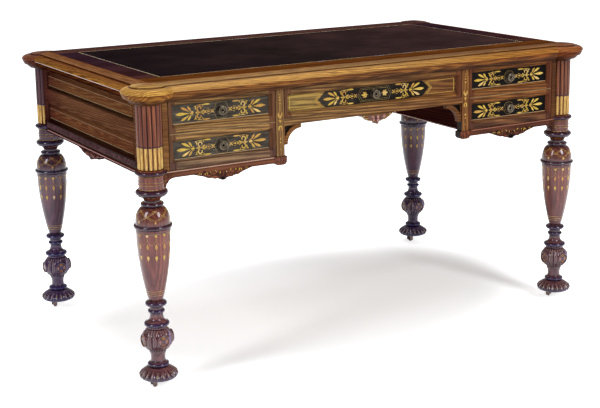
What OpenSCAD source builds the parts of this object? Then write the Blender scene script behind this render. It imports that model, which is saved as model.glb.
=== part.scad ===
// Writing table with a kneehole, five drawers, a leather top and four turned legs on castors.
// Millimetres. The origin is on the floor under the middle of the table.
// X runs along the length, Y from front to back and Z up.

/* [Overall] */
// Height of the flat of the top above the floor
table_h = 762; // [740:1:800]
// Distance between the leg centres along the length
leg_pitch_x = 1282; // [1240:1:1400]
// Distance between the leg centres from front to back
leg_pitch_y = 723; // [690:1:800]
// How far the frieze's faces stand out beyond the leg centres
frieze_out = 18; // [16:0.5:20]
// Thickness of the frieze's rails, stiles and uprights
frame_t = 22; // [20:0.5:25]

/* [Top] */
// Thickness of the top board
board_t = 25; // [22:0.5:30]
// Height of the moulded edge, down to its lowest member
edge_h = 44; // [43:0.5:48]
// Overhang of the moulding's nose beyond the leg centres
edge_nose = 48.5; // [46:0.5:54]
// How much further the corner caps stand out than the straight moulding
cap_step = 18; // [16:0.5:20]
// Spigot on the column's top that holds the cap
spigot_r = 12; // [10:0.5:14]
// Height of that spigot
spigot_h = 20; // [15:1:24]
// Length of the leather along X
leather_x = 1152; // [1000:1:1180]
// Width of the leather along Y
leather_y = 568; // [500:1:600]
// Thickness of the leather
leather_t = 1.5; // [1:0.1:2]
// Depth that the leather lies below the board's face
leather_sink = 0.4; // [0.2:0.1:0.8]
// How far the moulding laps in over the board from the leg centres
lap_in = 6; // [4:0.5:10]
// How far the board reaches out under that lap beyond the leg centres
lap_out = 12; // [8:0.5:14]
// Depth of the board's rebate under the lap
lap_depth = 12; // [10:0.5:14]

/* [Legs] */
// Radius of the reeded column over its reeds
column_r = 32; // [30:0.5:34]
// Number of reeds round the column
reed_count = 16; // [14:1:18]
// Radius of one reed
reed_r = 6.2; // [5.8:0.1:6.6]
// Height of the gilded zone at the column's foot
gilt_h = 54; // [40:1:70]
// Gap between two gilded strips
gilt_gap = 0.6; // [0.4:0.1:2]
// Radius of the plain collar below the column
collar_r = 31.7; // [30:0.1:33]
// Radius of the two rings above and below the collar
collar_ring_r = 40; // [38:0.5:42]
// Radius of the dome above the vase
dome_r = 43; // [40:0.5:45]
// Radius of the ring under the dome
dome_ring_r = 48; // [46:0.5:50]
// Radius of the vase at its top
vase_r = 42; // [40:0.5:44]
// Radius of the vase at its foot
vase_neck_r = 16.7; // [15:0.1:20]
// Radius of the ball
ball_r = 38.4; // [36:0.2:41]
// Half height of the ball
ball_half = 34; // [32:0.5:34]
// Radius of the four roundels on the ball
roundel_r = 16.5; // [13:0.5:17]
// Radius of the foot at its widest
foot_r = 48.4; // [46:0.2:52]

/* [Castors] */
// Radius of a castor wheel
wheel_r = 8.8; // [8:0.1:9]
// Width of a castor wheel
wheel_w = 13; // [10:0.5:16]
// Distance from the swivel axis to the axle
trail = 14; // [12:0.5:15]
// Radius of the axle
axle_r = 2; // [1.6:0.1:2.5]
// Radius of the swivel pintle
pintle_r = 4; // [3:0.1:4.5]
// Length of the pintle above the plate's face
pintle_h = 24; // [20:1:27]
// Radius of the castor's plate
plate_r = 15; // [12:0.5:17]
// Thickness of the castor's plate
plate_t = 2.2; // [1.8:0.1:3]
// Wall of the socket round the pintle
socket_wall = 2; // [1.5:0.1:3]
// Thickness of the fork's bridge
bridge_t = 2.3; // [1.8:0.1:3]
// Thickness of the fork's cheeks
cheek_t = 2.5; // [2:0.1:3]
// Radius of the cheeks' rounded ends
cheek_r = 5.5; // [5:0.1:6.5]
// Gap between a wheel and the fork's cheeks
cheek_gap = 0.5; // [0.3:0.1:1]
// Gap between a wheel and the fork's bridge
wheel_gap = 0.6; // [0.4:0.1:2]
// Gap between the fork's bridge and the plate
thrust_gap = 0.3; // [0.2:0.05:0.5]
// Radial clearance of the pintle and the axle
running_gap = 0.05; // [0.02:0.01:0.1]

/* [Drawer banks] */
// Height of the drawer banks below the moulded edge
bank_h = 171; // [165:1:180]
// Height of the rail under the banks
apron_h = 18; // [16:0.5:22]
// Clear width of the kneehole
kneehole_w = 560; // [480:1:600]
// Width of an upright beside the kneehole
upright_w = 23; // [20:0.5:26]
// Distance from a leg centre to the drawer opening
stile_in = 41; // [41:0.5:48]
// Thickness of the banks' inner sides
inner_t = 20; // [16:0.5:24]
// Thickness of the boards under the banks
bottom_board_t = 6; // [5:0.5:8]
// Drop of the carved scallop under each bank
scallop_drop = 23; // [16:0.5:28]
// Half width of that scallop
scallop_half = 82; // [70:1:95]
// Reach of the curved bracket beside the leg
leg_bracket = 24; // [20:0.5:28]
// Drop of that bracket
leg_bracket_drop = 20.5; // [16:0.5:24]
// Height of the rail under the centre drawer
centre_rail_h = 18; // [16:0.5:20]
// Drop of the carved leaf under the centre rail
leaf_drop = 27; // [20:0.5:30]
// Half width of that leaf
leaf_half = 54; // [44:1:60]
// Reach of the brackets along the rail and the upright
bracket_reach = 51; // [44:0.5:56]
// Width of the bracket's curved rib
bracket_rib = 11; // [8:0.5:13]
// Thickness of the brackets
bracket_t = 14; // [10:0.5:18]
// Height of the pendant under each upright
pendant_h = 22; // [18:0.5:26]
// Width of that pendant
pendant_w = 35; // [30:0.5:38]

/* [Drawers] */
// Height of the lower side drawers' fronts
lower_front_h = 88; // [80:0.5:92]
// Height of the centre drawer's front
centre_front_h = 74; // [70:0.5:80]
// Gap above and below a drawer front
gap_z = 1; // [0.8:0.1:1.5]
// Gap at each end of a drawer front
gap_x = 2; // [1:0.1:3]
// Distance from a side drawer's box to the end of its front
box_side_gap = 7; // [6:0.5:8]
// Distance from the centre drawer's box to the end of its front
centre_box_gap = 12; // [12:0.5:16]
// Distance from a drawer box's upper edge to the top of its front
box_top_gap = 6; // [4:0.5:10]
// Depth of the sunk panel below the front's face
sink = 10; // [8:0.5:11]
// Thickness of the inlaid panel
panel_t = 3; // [2:0.5:4]
// Width of the front's rim at its ends
rim_end = 14; // [10:0.5:18]
// Height of the rim below the panel: lower, upper and centre drawers
rim_low = [22, 20, 12]; // [8:0.5:26]
// Height of the rim above the panel: lower, upper and centre drawers
rim_high = [21, 13, 19]; // [8:0.5:26]
// Width of the slope along the sunk field's edges
rim_bevel = 6; // [1:0.5:6]
// Length of a drawer box behind the front
box_len = 560; // [450:5:590]
// Thickness of a drawer box's sides and back
box_t = 9; // [8:0.5:11]
// Thickness of a drawer bottom
bottom_t = 5; // [4:0.5:6]
// Depth of the groove that holds the bottom
groove = 3; // [2:0.5:4]
// Height of the groove above the box's lower edge
groove_up = 6; // [5:0.5:9]
// Thickness of a runner
runner_t = 8; // [6:0.5:8.5]
// Height of a guide above its runner
guide_h = 12; // [8:1:16]
// Width of a guide
guide_w = 11; // [8:0.5:11.5]
// Length of the stop behind a drawer box
stop_len = 12; // [10:1:30]
// Sliding gap of a drawer box
slide_gap = 0.3; // [0.25:0.05:0.4]
// Radius of a knob
knob_r = 13.5; // [11:0.5:16]
// Reach of a knob from the sunk panel
knob_reach = 12; // [10:0.5:16]
// Radius of a knob's shank
shank_r = 3; // [2.5:0.1:3.5]

/* [Side and back panels] */
// Height of the lower rail of the side and back frames, up to the lower panel
lower_rail_h = 33; // [30:0.5:36]
// Height of the lower panel's opening
lower_field_h = 53; // [48:0.5:56]
// Height of the upper panel's opening
upper_field_h = 51; // [46:0.5:54]
// Height of the rail between the two panels
mid_rail_h = 40; // [36:0.5:44]
// Width of the stile between a panel and the leg
panel_stile = 20; // [14:0.5:30]
// Groove round a raised field
field_groove = 6; // [4:0.5:8]
// Width of the bevel round a raised field
field_bevel = 6; // [4:0.5:8]
// Depth of a raised field behind the frame's face
field_deep = 1.5; // [0.5:0.5:3]
// Depth of the groove round it, at the panel's board
groove_deep = 10; // [6:0.5:12]
// Thickness of the panel's board
panel_board = 6; // [4:0.5:8]
// Half width of the carved scallop under the side frames
side_scallop_half = 106; // [90:1:130]
// Drop of that scallop
side_scallop_drop = 22; // [16:0.5:26]
// Height of the band under the panels
band_h = 17; // [14:0.5:20]
// How far the band stands out from the side frame
band_out = 1.5; // [1:0.1:3]

/* [Screws] */
// Screws along each long rail
screw_count = 5; // [3:1:7]
// Radius of a screw
screw_r = 2.2; // [1.8:0.1:2.8]
// Radius of a screw's head
screw_head_r = 4.2; // [3.5:0.1:5]
// Reach of a screw into the top board
screw_bite = 10; // [8:1:11]
// Thickness of a screw's head
screw_head_t = 2.5; // [2:0.1:4]

/* [Hidden] */
$fn = 64;
lx = leg_pitch_x / 2;
ly = leg_pitch_y / 2;
face_x = lx + frieze_out;
face_y = ly + frieze_out;
back_of_front = face_y - frame_t;
z_edge = table_h - edge_h;
z_board = table_h - board_t;
z_bank = z_edge - bank_h;
z_apron = z_bank - apron_h;
z_foot = 2 * wheel_r + wheel_gap + bridge_t + thrust_gap + plate_t;
lower_leg_h = 202;
upper_leg_h = 146.5;
z_vase = z_foot + lower_leg_h;
z_vase_top = z_bank - upper_leg_h;
collar_up = 9;
z_gilt = z_bank + collar_up;
z_reeds = z_gilt + gilt_h;
cap_neck = 5;
z_column = z_edge - cap_neck;
half_pitch = sin(180 / reed_count);
gilt_r = (column_r * half_pitch - gilt_gap / 2) / (1 + half_pitch);
gilt_core_r = column_r - gilt_r;
column_ring_t = 10;
ball_up = 103;
roundel_out = -0.4;
roundel_t = 12;
knee = kneehole_w / 2;
bay_in = knee + upright_w;
bay_out = lx - stile_in;
bay_w = bay_out - bay_in;
bay_mid = (bay_in + bay_out) / 2;
upper_front_h = bank_h - lower_front_h - 3 * gap_z;
z_lower = z_bank + gap_z;
z_upper = z_lower + lower_front_h + gap_z;
z_centre = z_edge - gap_z - centre_front_h;
z_rail = z_centre - gap_z - centre_rail_h;
z_pendant = z_bank - 2;
z_floor_board = z_bank + bottom_board_t;
low_runner_t = 4;
runner_up = 3.5;
glue_line = 0.1;
z_side = z_apron + 6;
z_field_low = z_side + lower_rail_h;
z_field_mid = z_field_low + lower_field_h;
z_field_up = z_field_mid + mid_rail_h;
field_spans = [[z_field_low, z_field_mid], [z_field_up, z_field_up + upper_field_h]];
back_in = knee + panel_stile;
back_out = lx - column_r - panel_stile;
back_bays = [[back_in, back_out], [-back_out, -back_in]];
bead_r = 2;
screw_end = 0.3;
end_gap = 0.5;
past = 1;

CORNERS = ["front_left", "front_right", "back_left", "back_right"];
corner_x = [-1, 1, -1, 1];
corner_y = [-1, -1, 1, 1];
castor_turn = [180, 115, 180, 190];
DRAWERS = ["upper_left", "lower_left", "upper_right", "lower_right", "centre"];
drawer_side = [-1, -1, 1, 1, 0];
drawer_level = [1, 0, 1, 0, 2];
level_z = [z_lower, z_upper, z_centre];
level_h = [lower_front_h, upper_front_h, centre_front_h];
runner_top = [z_floor_board + low_runner_t, z_upper + runner_up, z_centre + runner_up];

rosewood = [0.42, 0.20, 0.11];
golden_rosewood = [0.62, 0.40, 0.18];
dark_rosewood = [0.27, 0.11, 0.08];
ebony = [0.09, 0.09, 0.08];
gilt = [0.80, 0.62, 0.25];
bronze = [0.30, 0.24, 0.17];
drawer_wood = [0.66, 0.50, 0.33];
leather_brown = [0.10, 0.06, 0.06];

// Half round ring of a turned profile: radius at its tip, height of its middle, thickness
function ring(r, z, t) = [for (a = [-90:22.5:90]) [r - t / 2 * (1 - cos(a)), z + t / 2 * sin(a)]];

// Foot, ball and small rings, measured up from the foot's underside
function lower_profile() = concat(
    [[0, 0], [foot_r - 18, 0], [foot_r - 8, 1.5], [foot_r - 1.5, 6], [foot_r, 10.5],
     [foot_r - 1.5, 15], [foot_r - 7.5, 21], [foot_r - 14.5, 26], [28, 30], [24, 31.5]],
    ring(26.9, 37.3, 9),
    [[19.5, 43.5], [18, 47], [17.7, 56], [18, 63], [21, 66], [21, 70]],
    [for (t = [-56:8:56]) [ball_r * cos(t), ball_up + ball_half * sin(t)]],
    [[25, 132], [25, 135.5]],
    ring(31.6, 142, 11),
    [[25, 148.5], [20, 152], [17, 158], [16.3, 164], [16.3, 169]],
    ring(21.2, 174.5, 9),
    [[17, 180], [17, 187]],
    ring(26.9, 194, 11),
    [[vase_neck_r, 201]]);

// Vase: the radius grows as a power of a sine up its height
function vase_profile() = [for (s = [0:0.0625:1])
    [vase_neck_r + (vase_r - vase_neck_r) * pow(sin(90 * s), 0.86),
     z_vase + s * (z_vase_top - z_vase)]];

// Dome, rings and collar between the vase and the column, measured from the bank's underside
function upper_profile() = concat(
    [[vase_r + 1.5, -145], [vase_r + 1.5, -138]],
    ring(dome_ring_r, -132, 10),
    [for (t = [0:10:80]) [24 + (dome_r - 24) * cos(t), -126 + 41 * sin(t)]],
    [[20.5, -85], [20.5, -83.5]],
    ring(28.7, -78.4, 9),
    [[20, -73], [20, -69], [21, -67], [24, -63], [29, -59], [34.5, -57]],
    ring(collar_ring_r, -49, 14),
    [[collar_r, -41], [collar_r, -34.6], [collar_r - 1, -34], [collar_r - 1, -33],
     [collar_r, -32.4], [collar_r, -22.6], [collar_r - 1, -22], [collar_r - 1, -21],
     [collar_r, -20.4], [collar_r, -column_ring_t / 2]],
    ring(collar_ring_r, 0, column_ring_t),
    [[collar_r, column_ring_t / 2], [collar_r, collar_up - 3], [gilt_core_r, collar_up]]);

function leg_profile() = concat(
    [for (p = lower_profile()) [p[0], p[1] + z_foot]],
    vase_profile(),
    [for (p = upper_profile()) [p[0], p[1] + z_bank]],
    [[gilt_core_r, z_column], [spigot_r, z_column], [spigot_r, z_column + spigot_h],
     [0, z_column + spigot_h]]);

// Moulded edge: distance outside the leg centres and depth below the flat of the top
function edge_profile() = concat(
    [[-lap_in, 0], [24, 4], [26, 6.5], [29, 7]],
    [for (t = [10:10:90]) [29 + (edge_nose - 29) * sin(t), 7 + 11.5 * (1 - cos(t))]],
    [[edge_nose - 0.5, 20.5], [edge_nose - 1.8, 23], [edge_nose - 3.5, 26],
     [edge_nose - 6, 31], [edge_nose - 7, 33], [35, 34], [33.5, 37], [30.5, edge_h - 4],
     [29, edge_h - 3], [28, edge_h - 1.5], [frieze_out + 2, edge_h]]);

module at_corners() {
    for (i = [0:3]) translate([corner_x[i] * lx, corner_y[i] * ly, 0]) children();
}

module cap_shape() {
    rotate_extrude() polygon(concat(
        [[0, z_column], [column_r, z_column], [column_r + 2, z_column + 2]],
        [for (i = [len(edge_profile()) - 1:-1:0])
            [edge_profile()[i][0] + cap_step, table_h - edge_profile()[i][1]]],
        [[0, table_h]]));
}

// Space that the legs take from the frieze, with a glue line round them
module leg_space() {
    ring_t = column_ring_t + 2 * glue_line;
    at_corners() {
        translate([0, 0, z_apron - leg_bracket_drop - past])
            cylinder(r = column_r + glue_line, h = z_column - z_apron + leg_bracket_drop + 2 * past);
        translate([0, 0, z_bank - ring_t / 2]) cylinder(r = collar_ring_r + glue_line, h = ring_t);
    }
}

// Space that the caps take from the frieze and the top
module cap_space() {
    at_corners() cap_shape();
}

module box_between(low, high) {
    translate(low) cube(high - low);
}

// Extrudes an outline drawn in X and Z, with its front face at y and the depth t behind it
module standing(y, t) {
    translate([0, y + t, 0]) rotate([90, 0, 0]) linear_extrude(t) children();
}

module top_board() {
    color(dark_rosewood) difference() {
        union() {
            box_between([-lx + lap_in, -ly + lap_in, z_board], [lx - lap_in, ly - lap_in, table_h]);
            box_between([-lx - lap_out, -ly - lap_out, z_board],
                        [lx + lap_out, ly + lap_out, table_h - lap_depth]);
        }
        translate([-leather_x / 2, -leather_y / 2, table_h - leather_t - leather_sink])
            cube([leather_x, leather_y, leather_t + leather_sink + past]);
        cap_space();
        screw_places() translate([0, 0, z_board - past])
            cylinder(r = screw_r + running_gap, h = screw_bite + past + end_gap);
    }
}

module leather_panel() {
    color(leather_brown) translate([-leather_x / 2, -leather_y / 2, table_h - leather_t - leather_sink])
        cube([leather_x, leather_y, leather_t]);
}

// One straight length of the edge, running along X with its outside towards -Y
module edge_length(half, axis_line) {
    translate([-half, 0, 0]) rotate([90, 0, 90]) linear_extrude(2 * half)
        polygon(concat(
            [for (p = edge_profile()) [-axis_line - p[0], table_h - p[1]]],
            [[-axis_line - frieze_out, z_edge], [-axis_line - frieze_out, z_board],
             [-axis_line - lap_out, z_board], [-axis_line - lap_out, table_h - lap_depth],
             [-axis_line + lap_in, table_h - lap_depth]]));
}

module edge_mouldings() {
    color(golden_rosewood) difference() {
        union() {
            for (a = [0, 180]) rotate(a) edge_length(lx, ly);
            for (a = [90, 270]) rotate(a) edge_length(ly, lx);
        }
        cap_space();
    }
}

module corner_caps() {
    color(golden_rosewood) difference() {
        cap_space();
        at_corners() translate([0, 0, z_column - past])
            cylinder(r = spigot_r + running_gap, h = spigot_h + past + end_gap);
    }
}

// Ring of upright reeds with their axes at the radius given, from z0 to z1
module reeds(r, at, z0, z1) {
    translate([0, 0, z0]) linear_extrude(z1 - z0)
        for (i = [0:reed_count - 1]) rotate(i * 360 / reed_count) translate([at, 0]) circle(r = r);
}

// Ring of raised roundels on the ball, each a rim with four petals inside
module roundels() {
    top = roundel_t + roundel_out;
    sunk = 1.5;
    rim = 2.5;
    petal_at = 6;
    petal_r = 5;
    for (a = [0:90:270])
        rotate(a) translate([ball_r - roundel_t, 0, z_foot + ball_up]) rotate([0, 90, 0]) {
            difference() {
                cylinder(r = roundel_r, h = top);
                translate([0, 0, top - sunk]) cylinder(r = roundel_r - rim, h = sunk + past);
            }
            for (b = [0:90:270]) rotate(b) translate([petal_at, 0, roundel_t / 2])
                cylinder(r = petal_r, h = top / 2);
        }
}

module leg(i) {
    color(rosewood) translate([corner_x[i] * lx, corner_y[i] * ly, 0]) difference() {
        union() {
            rotate_extrude() polygon(leg_profile());
            reeds(reed_r, column_r - reed_r, z_reeds, z_column);
            roundels();
        }
        translate([0, 0, z_foot - past])
            cylinder(r = pintle_r + running_gap + socket_wall, h = pintle_h + 2 * past);
    }
}

module gilt_reed_strips() {
    color(gilt) at_corners() difference() {
        reeds(gilt_r, gilt_core_r, z_gilt, z_reeds);
        translate([0, 0, z_gilt - past]) cylinder(r = gilt_core_r, h = gilt_h + 2 * past);
    }
}

module castor_sockets() {
    color(bronze) at_corners() difference() {
        union() {
            translate([0, 0, z_foot - plate_t]) cylinder(r = plate_r, h = plate_t);
            translate([0, 0, z_foot])
                cylinder(r = pintle_r + running_gap + socket_wall, h = pintle_h + past);
        }
        translate([0, 0, z_foot - plate_t - past])
            cylinder(r = pintle_r + running_gap, h = pintle_h + plate_t + 3 * past);
    }
}

module castor_place(i) {
    translate([corner_x[i] * lx, corner_y[i] * ly, 0]) rotate(castor_turn[i]) children();
}

module castor_fork(i) {
    bridge_top = z_foot - plate_t - thrust_gap;
    bridge_low = bridge_top - bridge_t;
    outside = wheel_w / 2 + cheek_gap + cheek_t;
    color(bronze) castor_place(i) {
        translate([0, 0, bridge_low]) {
            cylinder(r = outside, h = bridge_t);
            translate([0, -outside, 0]) cube([trail, 2 * outside, bridge_t]);
            cylinder(r = pintle_r, h = pintle_h + plate_t + thrust_gap + bridge_t);
        }
        for (s = [-1, 1]) translate([0, s * (outside - cheek_t / 2), 0]) {
            translate([trail - cheek_r, -cheek_t / 2, wheel_r])
                cube([2 * cheek_r, cheek_t, bridge_low + bridge_t - wheel_r]);
            translate([trail, cheek_t / 2, wheel_r]) rotate([90, 0, 0]) cylinder(r = cheek_r, h = cheek_t);
        }
        translate([trail, outside, wheel_r]) rotate([90, 0, 0]) cylinder(r = axle_r, h = 2 * outside);
    }
}

module castor_wheel(i) {
    color(dark_rosewood) castor_place(i) translate([trail, wheel_w / 2, wheel_r]) rotate([90, 0, 0])
        difference() {
            cylinder(r = wheel_r, h = wheel_w);
            translate([0, 0, -past]) cylinder(r = axle_r + running_gap, h = wheel_w + 2 * past);
        }
}

function drawer_x(d) = drawer_side[d] * bay_mid;
function drawer_half(d) = (drawer_side[d] == 0 ? knee : bay_w / 2) - gap_x;
function drawer_z(d) = level_z[drawer_level[d]];
function drawer_h(d) = level_h[drawer_level[d]];
function field_low(d) = drawer_z(d) + rim_low[drawer_level[d]];
function field_high(d) = drawer_z(d) + drawer_h(d) - rim_high[drawer_level[d]];
function knob_z(d) = (field_low(d) + field_high(d)) / 2;
function box_half(d) = drawer_half(d) - (drawer_side[d] == 0 ? centre_box_gap : box_side_gap);
function box_low(d) = runner_top[drawer_level[d]] + slide_gap;
function box_high(d) = drawer_z(d) + drawer_h(d) - box_top_gap;

module knob_bore(d, r) {
    translate([drawer_x(d), -face_y + sink, knob_z(d)]) rotate([90, 0, 0])
        translate([0, 0, -frame_t]) cylinder(r = r, h = 2 * frame_t);
}

module drawer_front(d) {
    half = drawer_half(d);
    left = drawer_x(d) - half + rim_end;
    right = drawer_x(d) + half - rim_end;
    slope_deep = sink - 1;
    color(golden_rosewood) difference() {
        box_between([drawer_x(d) - half, -face_y, drawer_z(d)],
                    [drawer_x(d) + half, -back_of_front, drawer_z(d) + drawer_h(d)]);
        box_between([left, -face_y - past, field_low(d)], [right, -face_y + sink + panel_t, field_high(d)]);
        // A slope along the four edges of the sunk field
        sloped_block(left, right, field_low(d), field_high(d), -face_y - past,
                     rim_bevel * (1 + past / slope_deep), -face_y + 2 * slope_deep, -rim_bevel);
        knob_bore(d, shank_r + running_gap);
    }
}

module drawer_panel(d) {
    half = drawer_half(d) - rim_end;
    color(drawer_side[d] == 0 ? rosewood : ebony) difference() {
        box_between([drawer_x(d) - half, -face_y + sink, field_low(d)],
                    [drawer_x(d) + half, -face_y + sink + panel_t, field_high(d)]);
        knob_bore(d, shank_r + running_gap);
    }
}

module drawer_box(d) {
    half = box_half(d);
    y0 = -back_of_front;
    color(drawer_wood) difference() {
        box_between([drawer_x(d) - half, y0, box_low(d)], [drawer_x(d) + half, y0 + box_len, box_high(d)]);
        box_between([drawer_x(d) - half + box_t, y0 - past, box_low(d) - past],
                    [drawer_x(d) + half - box_t, y0 + box_len - box_t, box_high(d) + past]);
        bottom_shape(d);
    }
}

module bottom_shape(d) {
    half = box_half(d) - box_t + groove;
    box_between([drawer_x(d) - half, -back_of_front, box_low(d) + groove_up],
                [drawer_x(d) + half, -back_of_front + box_len - box_t + groove,
                 box_low(d) + groove_up + bottom_t]);
}

module drawer_bottom(d) {
    color(drawer_wood) bottom_shape(d);
}

// Turned knob with a dished face on its rose, its shank through the front and a round nut behind
module drawer_knob(d) {
    rose_t = 2.5;
    neck_r = 8;
    lip_r = 3;
    lip_at = knob_r - lip_r - 1;
    nut_r = 7;
    nut_t = 4;
    through = frame_t - sink;
    color(bronze) translate([drawer_x(d), -face_y + sink, knob_z(d)]) rotate([90, 0, 0]) {
        rotate_extrude() polygon(concat(
            [[0, 0], [knob_r, 0], [knob_r, rose_t - 1], [knob_r - 1.5, rose_t],
             [neck_r, rose_t + 0.5], [neck_r, knob_reach - 2 * lip_r - 0.5]],
            [for (t = [-60:20:80]) [lip_at + lip_r * cos(t), knob_reach - lip_r + lip_r * sin(t)]],
            [[7, knob_reach - 1.2], [5, knob_reach - 3], [2.5, knob_reach - 3.5],
             [0, knob_reach - 3.5]]));
        translate([0, 0, -through - nut_t - past]) cylinder(r = shank_r, h = through + nut_t + 2 * past);
        translate([0, 0, -through - nut_t]) difference() {
            cylinder(r = nut_r, h = nut_t);
            translate([0, 0, -past]) cylinder(r = shank_r + running_gap, h = nut_t + 2 * past);
        }
    }
}

// Raised panel between x0 and x1, in a frame with its face towards -Y at the depth y
module raised_panel(x0, x1, span, y) {
    board_y = y + groove_deep;
    slope = field_bevel / (groove_deep - field_deep);
    box_between([x0, board_y, span[0]], [x1, board_y + panel_board, span[1]]);
    sloped_block(x0 + field_groove, x1 - field_groove, span[0] + field_groove, span[1] - field_groove,
                 y + field_deep, -field_bevel, board_y + past, slope * past);
}

// Block from y0 to y1 with four sloping sides: its outline grows by out0 at y0 and by out1 at y1
module sloped_block(x0, x1, z0, z1, y0, out0, y1, out1) {
    over = max(out0, out1) + past;
    intersection() {
        translate([x0 - over, 0, 0]) rotate([90, 0, 90]) linear_extrude(x1 - x0 + 2 * over)
            polygon([[y0, z0 - out0], [y1, z0 - out1], [y1, z1 + out1], [y0, z1 + out0]]);
        translate([0, 0, z0 - over]) linear_extrude(z1 - z0 + 2 * over)
            polygon([[x0 - out0, y0], [x0 - out1, y1], [x1 + out1, y1], [x1 + out0, y0]]);
    }
}

// Carved drop under a rail, symmetric about x = 0 and hanging from z = 0
module scallop_outline(half, drop) {
    right = [[1, 0.02], [0.98, 0], [0.8, -0.2], [0.66, -0.34], [0.52, -0.58], [0.4, -0.62],
             [0.22, -0.66], [0.12, -0.72], [0.08, -0.95]];
    polygon(concat(
        [for (p = right) [p[0] * half, p[1] * drop]],
        [[0, -drop]],
        [for (i = [len(right) - 1:-1:0]) [-right[i][0] * half, right[i][1] * drop]]));
}

// Side frame seen from outside as a front: its long way along X here, then turned into place
module side_frame() {
    reach = ly;
    band_top = z_field_low - 2;
    ledge_up = 6;
    scallop_in = 4;
    scallop_t = 14;
    difference() {
        union() {
            difference() {
                box_between([-reach, -face_x, z_side], [reach, -face_x + frame_t, z_board]);
                for (s = field_spans)
                    box_between([-reach + column_r + panel_stile, -face_x - past, s[0]],
                                [reach - column_r - panel_stile, -face_x + frame_t + past, s[1]]);
            }
            box_between([-reach, -face_x - band_out, band_top - band_h],
                        [reach, -face_x + past, band_top]);
            long_bead(-reach, reach, -face_x, z_side + ledge_up, bead_r);
            translate([0, 0, z_side]) standing(-face_x + scallop_in, scallop_t)
                scallop_outline(side_scallop_half, side_scallop_drop);
        }
        turned_space();
    }
}

// Round bead along X, half sunk in the face at y
module long_bead(x0, x1, y, z, r) {
    translate([x0, y, z]) rotate([0, 90, 0]) cylinder(r = r, h = x1 - x0, $fn = 24);
}

// The legs and caps as the turned side frame meets them
module turned_space() {
    rotate(90) {
        leg_space();
        cap_space();
    }
}

module side_place(s) {
    rotate(s < 0 ? -90 : 90) children();
}

module side_frame_at(s) {
    color(rosewood) side_place(s) side_frame();
}

module side_panels() {
    reach = ly - column_r - panel_stile;
    color(golden_rosewood) for (s = [-1, 1], f = field_spans)
        side_place(s) raised_panel(-reach, reach, f, -face_x);
}

// Back frame and its panels, drawn towards -Y and turned round
module back_frame() {
    color(rosewood) rotate(180) difference() {
        standing(-face_y, frame_t) difference() {
            polygon([[-lx, z_apron], [-knee, z_apron], [-knee, z_rail], [knee, z_rail],
                     [knee, z_apron], [lx, z_apron], [lx, z_edge], [-lx, z_edge]]);
            for (b = back_bays, f = field_spans)
                translate([b[0], f[0]]) square([b[1] - b[0], f[1] - f[0]]);
        }
        leg_space();
        cap_space();
    }
}

module back_panels() {
    color(golden_rosewood) rotate(180) for (b = back_bays, f = field_spans)
        raised_panel(b[0], b[1], f, -face_y);
}

module inner_side(s) {
    outer = s < 0 ? -knee - inner_t : knee;
    color(dark_rosewood)
        box_between([outer, -back_of_front, z_bank], [outer + inner_t, back_of_front, z_board]);
}

module screw_places() {
    for (i = [0:screw_count - 1], s = [-1, 1])
        translate([(i - (screw_count - 1) / 2) * leg_pitch_x / (screw_count + 2 * screw_end),
                   s * (face_y - frame_t / 2), 0]) children();
}

// Front and back rails under the top board, drilled and sunk for the screws
module top_rails() {
    color(rosewood) difference() {
        for (a = [0, 180]) rotate(a)
            box_between([-lx, -face_y, z_edge], [lx, -back_of_front, z_board]);
        cap_space();
        screw_places() translate([0, 0, z_edge - past]) {
            cylinder(r = screw_r + running_gap, h = z_board - z_edge + 2 * past);
            cylinder(r = screw_head_r + running_gap, h = screw_head_t + past);
        }
    }
}

module top_screws() {
    color(bronze) screw_places() translate([0, 0, z_edge]) {
        cylinder(r = screw_r, h = z_board - z_edge + screw_bite);
        cylinder(r = screw_head_r, h = screw_head_t);
    }
}

// Upright with its pendant, a thicker drop with rounded corners
module upright(s) {
    mid = s * (knee + upright_w / 2);
    proud = 1;
    color(golden_rosewood) {
        box_between([mid - upright_w / 2, -face_y, z_pendant],
                    [mid + upright_w / 2, -back_of_front, z_edge]);
        translate([mid, 0, z_pendant]) standing(-face_y - proud, frame_t + proud) pendant_outline();
    }
}

// Pendant under an upright, hanging from z = 0
module pendant_outline() {
    round_r = 10;
    half = pendant_w / 2;
    polygon(concat(
        [[-half, 0]],
        [for (t = [0:15:90]) [-half + round_r * (1 - cos(t)), -pendant_h + round_r * (1 - sin(t))]],
        [for (t = [90:-15:0]) [half - round_r * (1 - cos(t)), -pendant_h + round_r * (1 - sin(t))]],
        [[half, 0]]));
}

// Stile beside the leg, rail under the bank, bracket at the leg and carved scallop, in one
module apron(s) {
    inner = knee + upright_w / 2 + pendant_w / 2;
    bracket_in = lx - column_r + past - leg_bracket;
    scallop_mid = bay_mid + 4;
    color(rosewood) difference() {
        mirror([s < 0 ? 1 : 0, 0, 0]) {
            standing(-face_y, frame_t) {
                polygon(concat(
                    [[inner, z_bank], [inner, z_apron]],
                    [for (t = [0:15:90]) [bracket_in + leg_bracket * sin(t),
                                          z_apron - leg_bracket_drop * (1 - cos(t))]],
                    [[lx, z_apron - leg_bracket_drop], [lx, z_edge], [bay_out, z_edge],
                     [bay_out, z_bank]]));
                translate([scallop_mid, z_apron]) scallop_outline(scallop_half, scallop_drop);
            }
            long_bead(inner, lx, -face_y, z_bank - bead_r - 0.5, bead_r);
        }
        leg_space();
        cap_space();
    }
}

module centre_rail() {
    proud = 1;
    leaf_t = 16;
    color(golden_rosewood) {
        box_between([-knee, -face_y, z_rail], [knee, -back_of_front, z_rail + centre_rail_h]);
        translate([0, 0, z_rail]) standing(-face_y - proud, leaf_t) scallop_outline(leaf_half, leaf_drop);
    }
}

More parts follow.
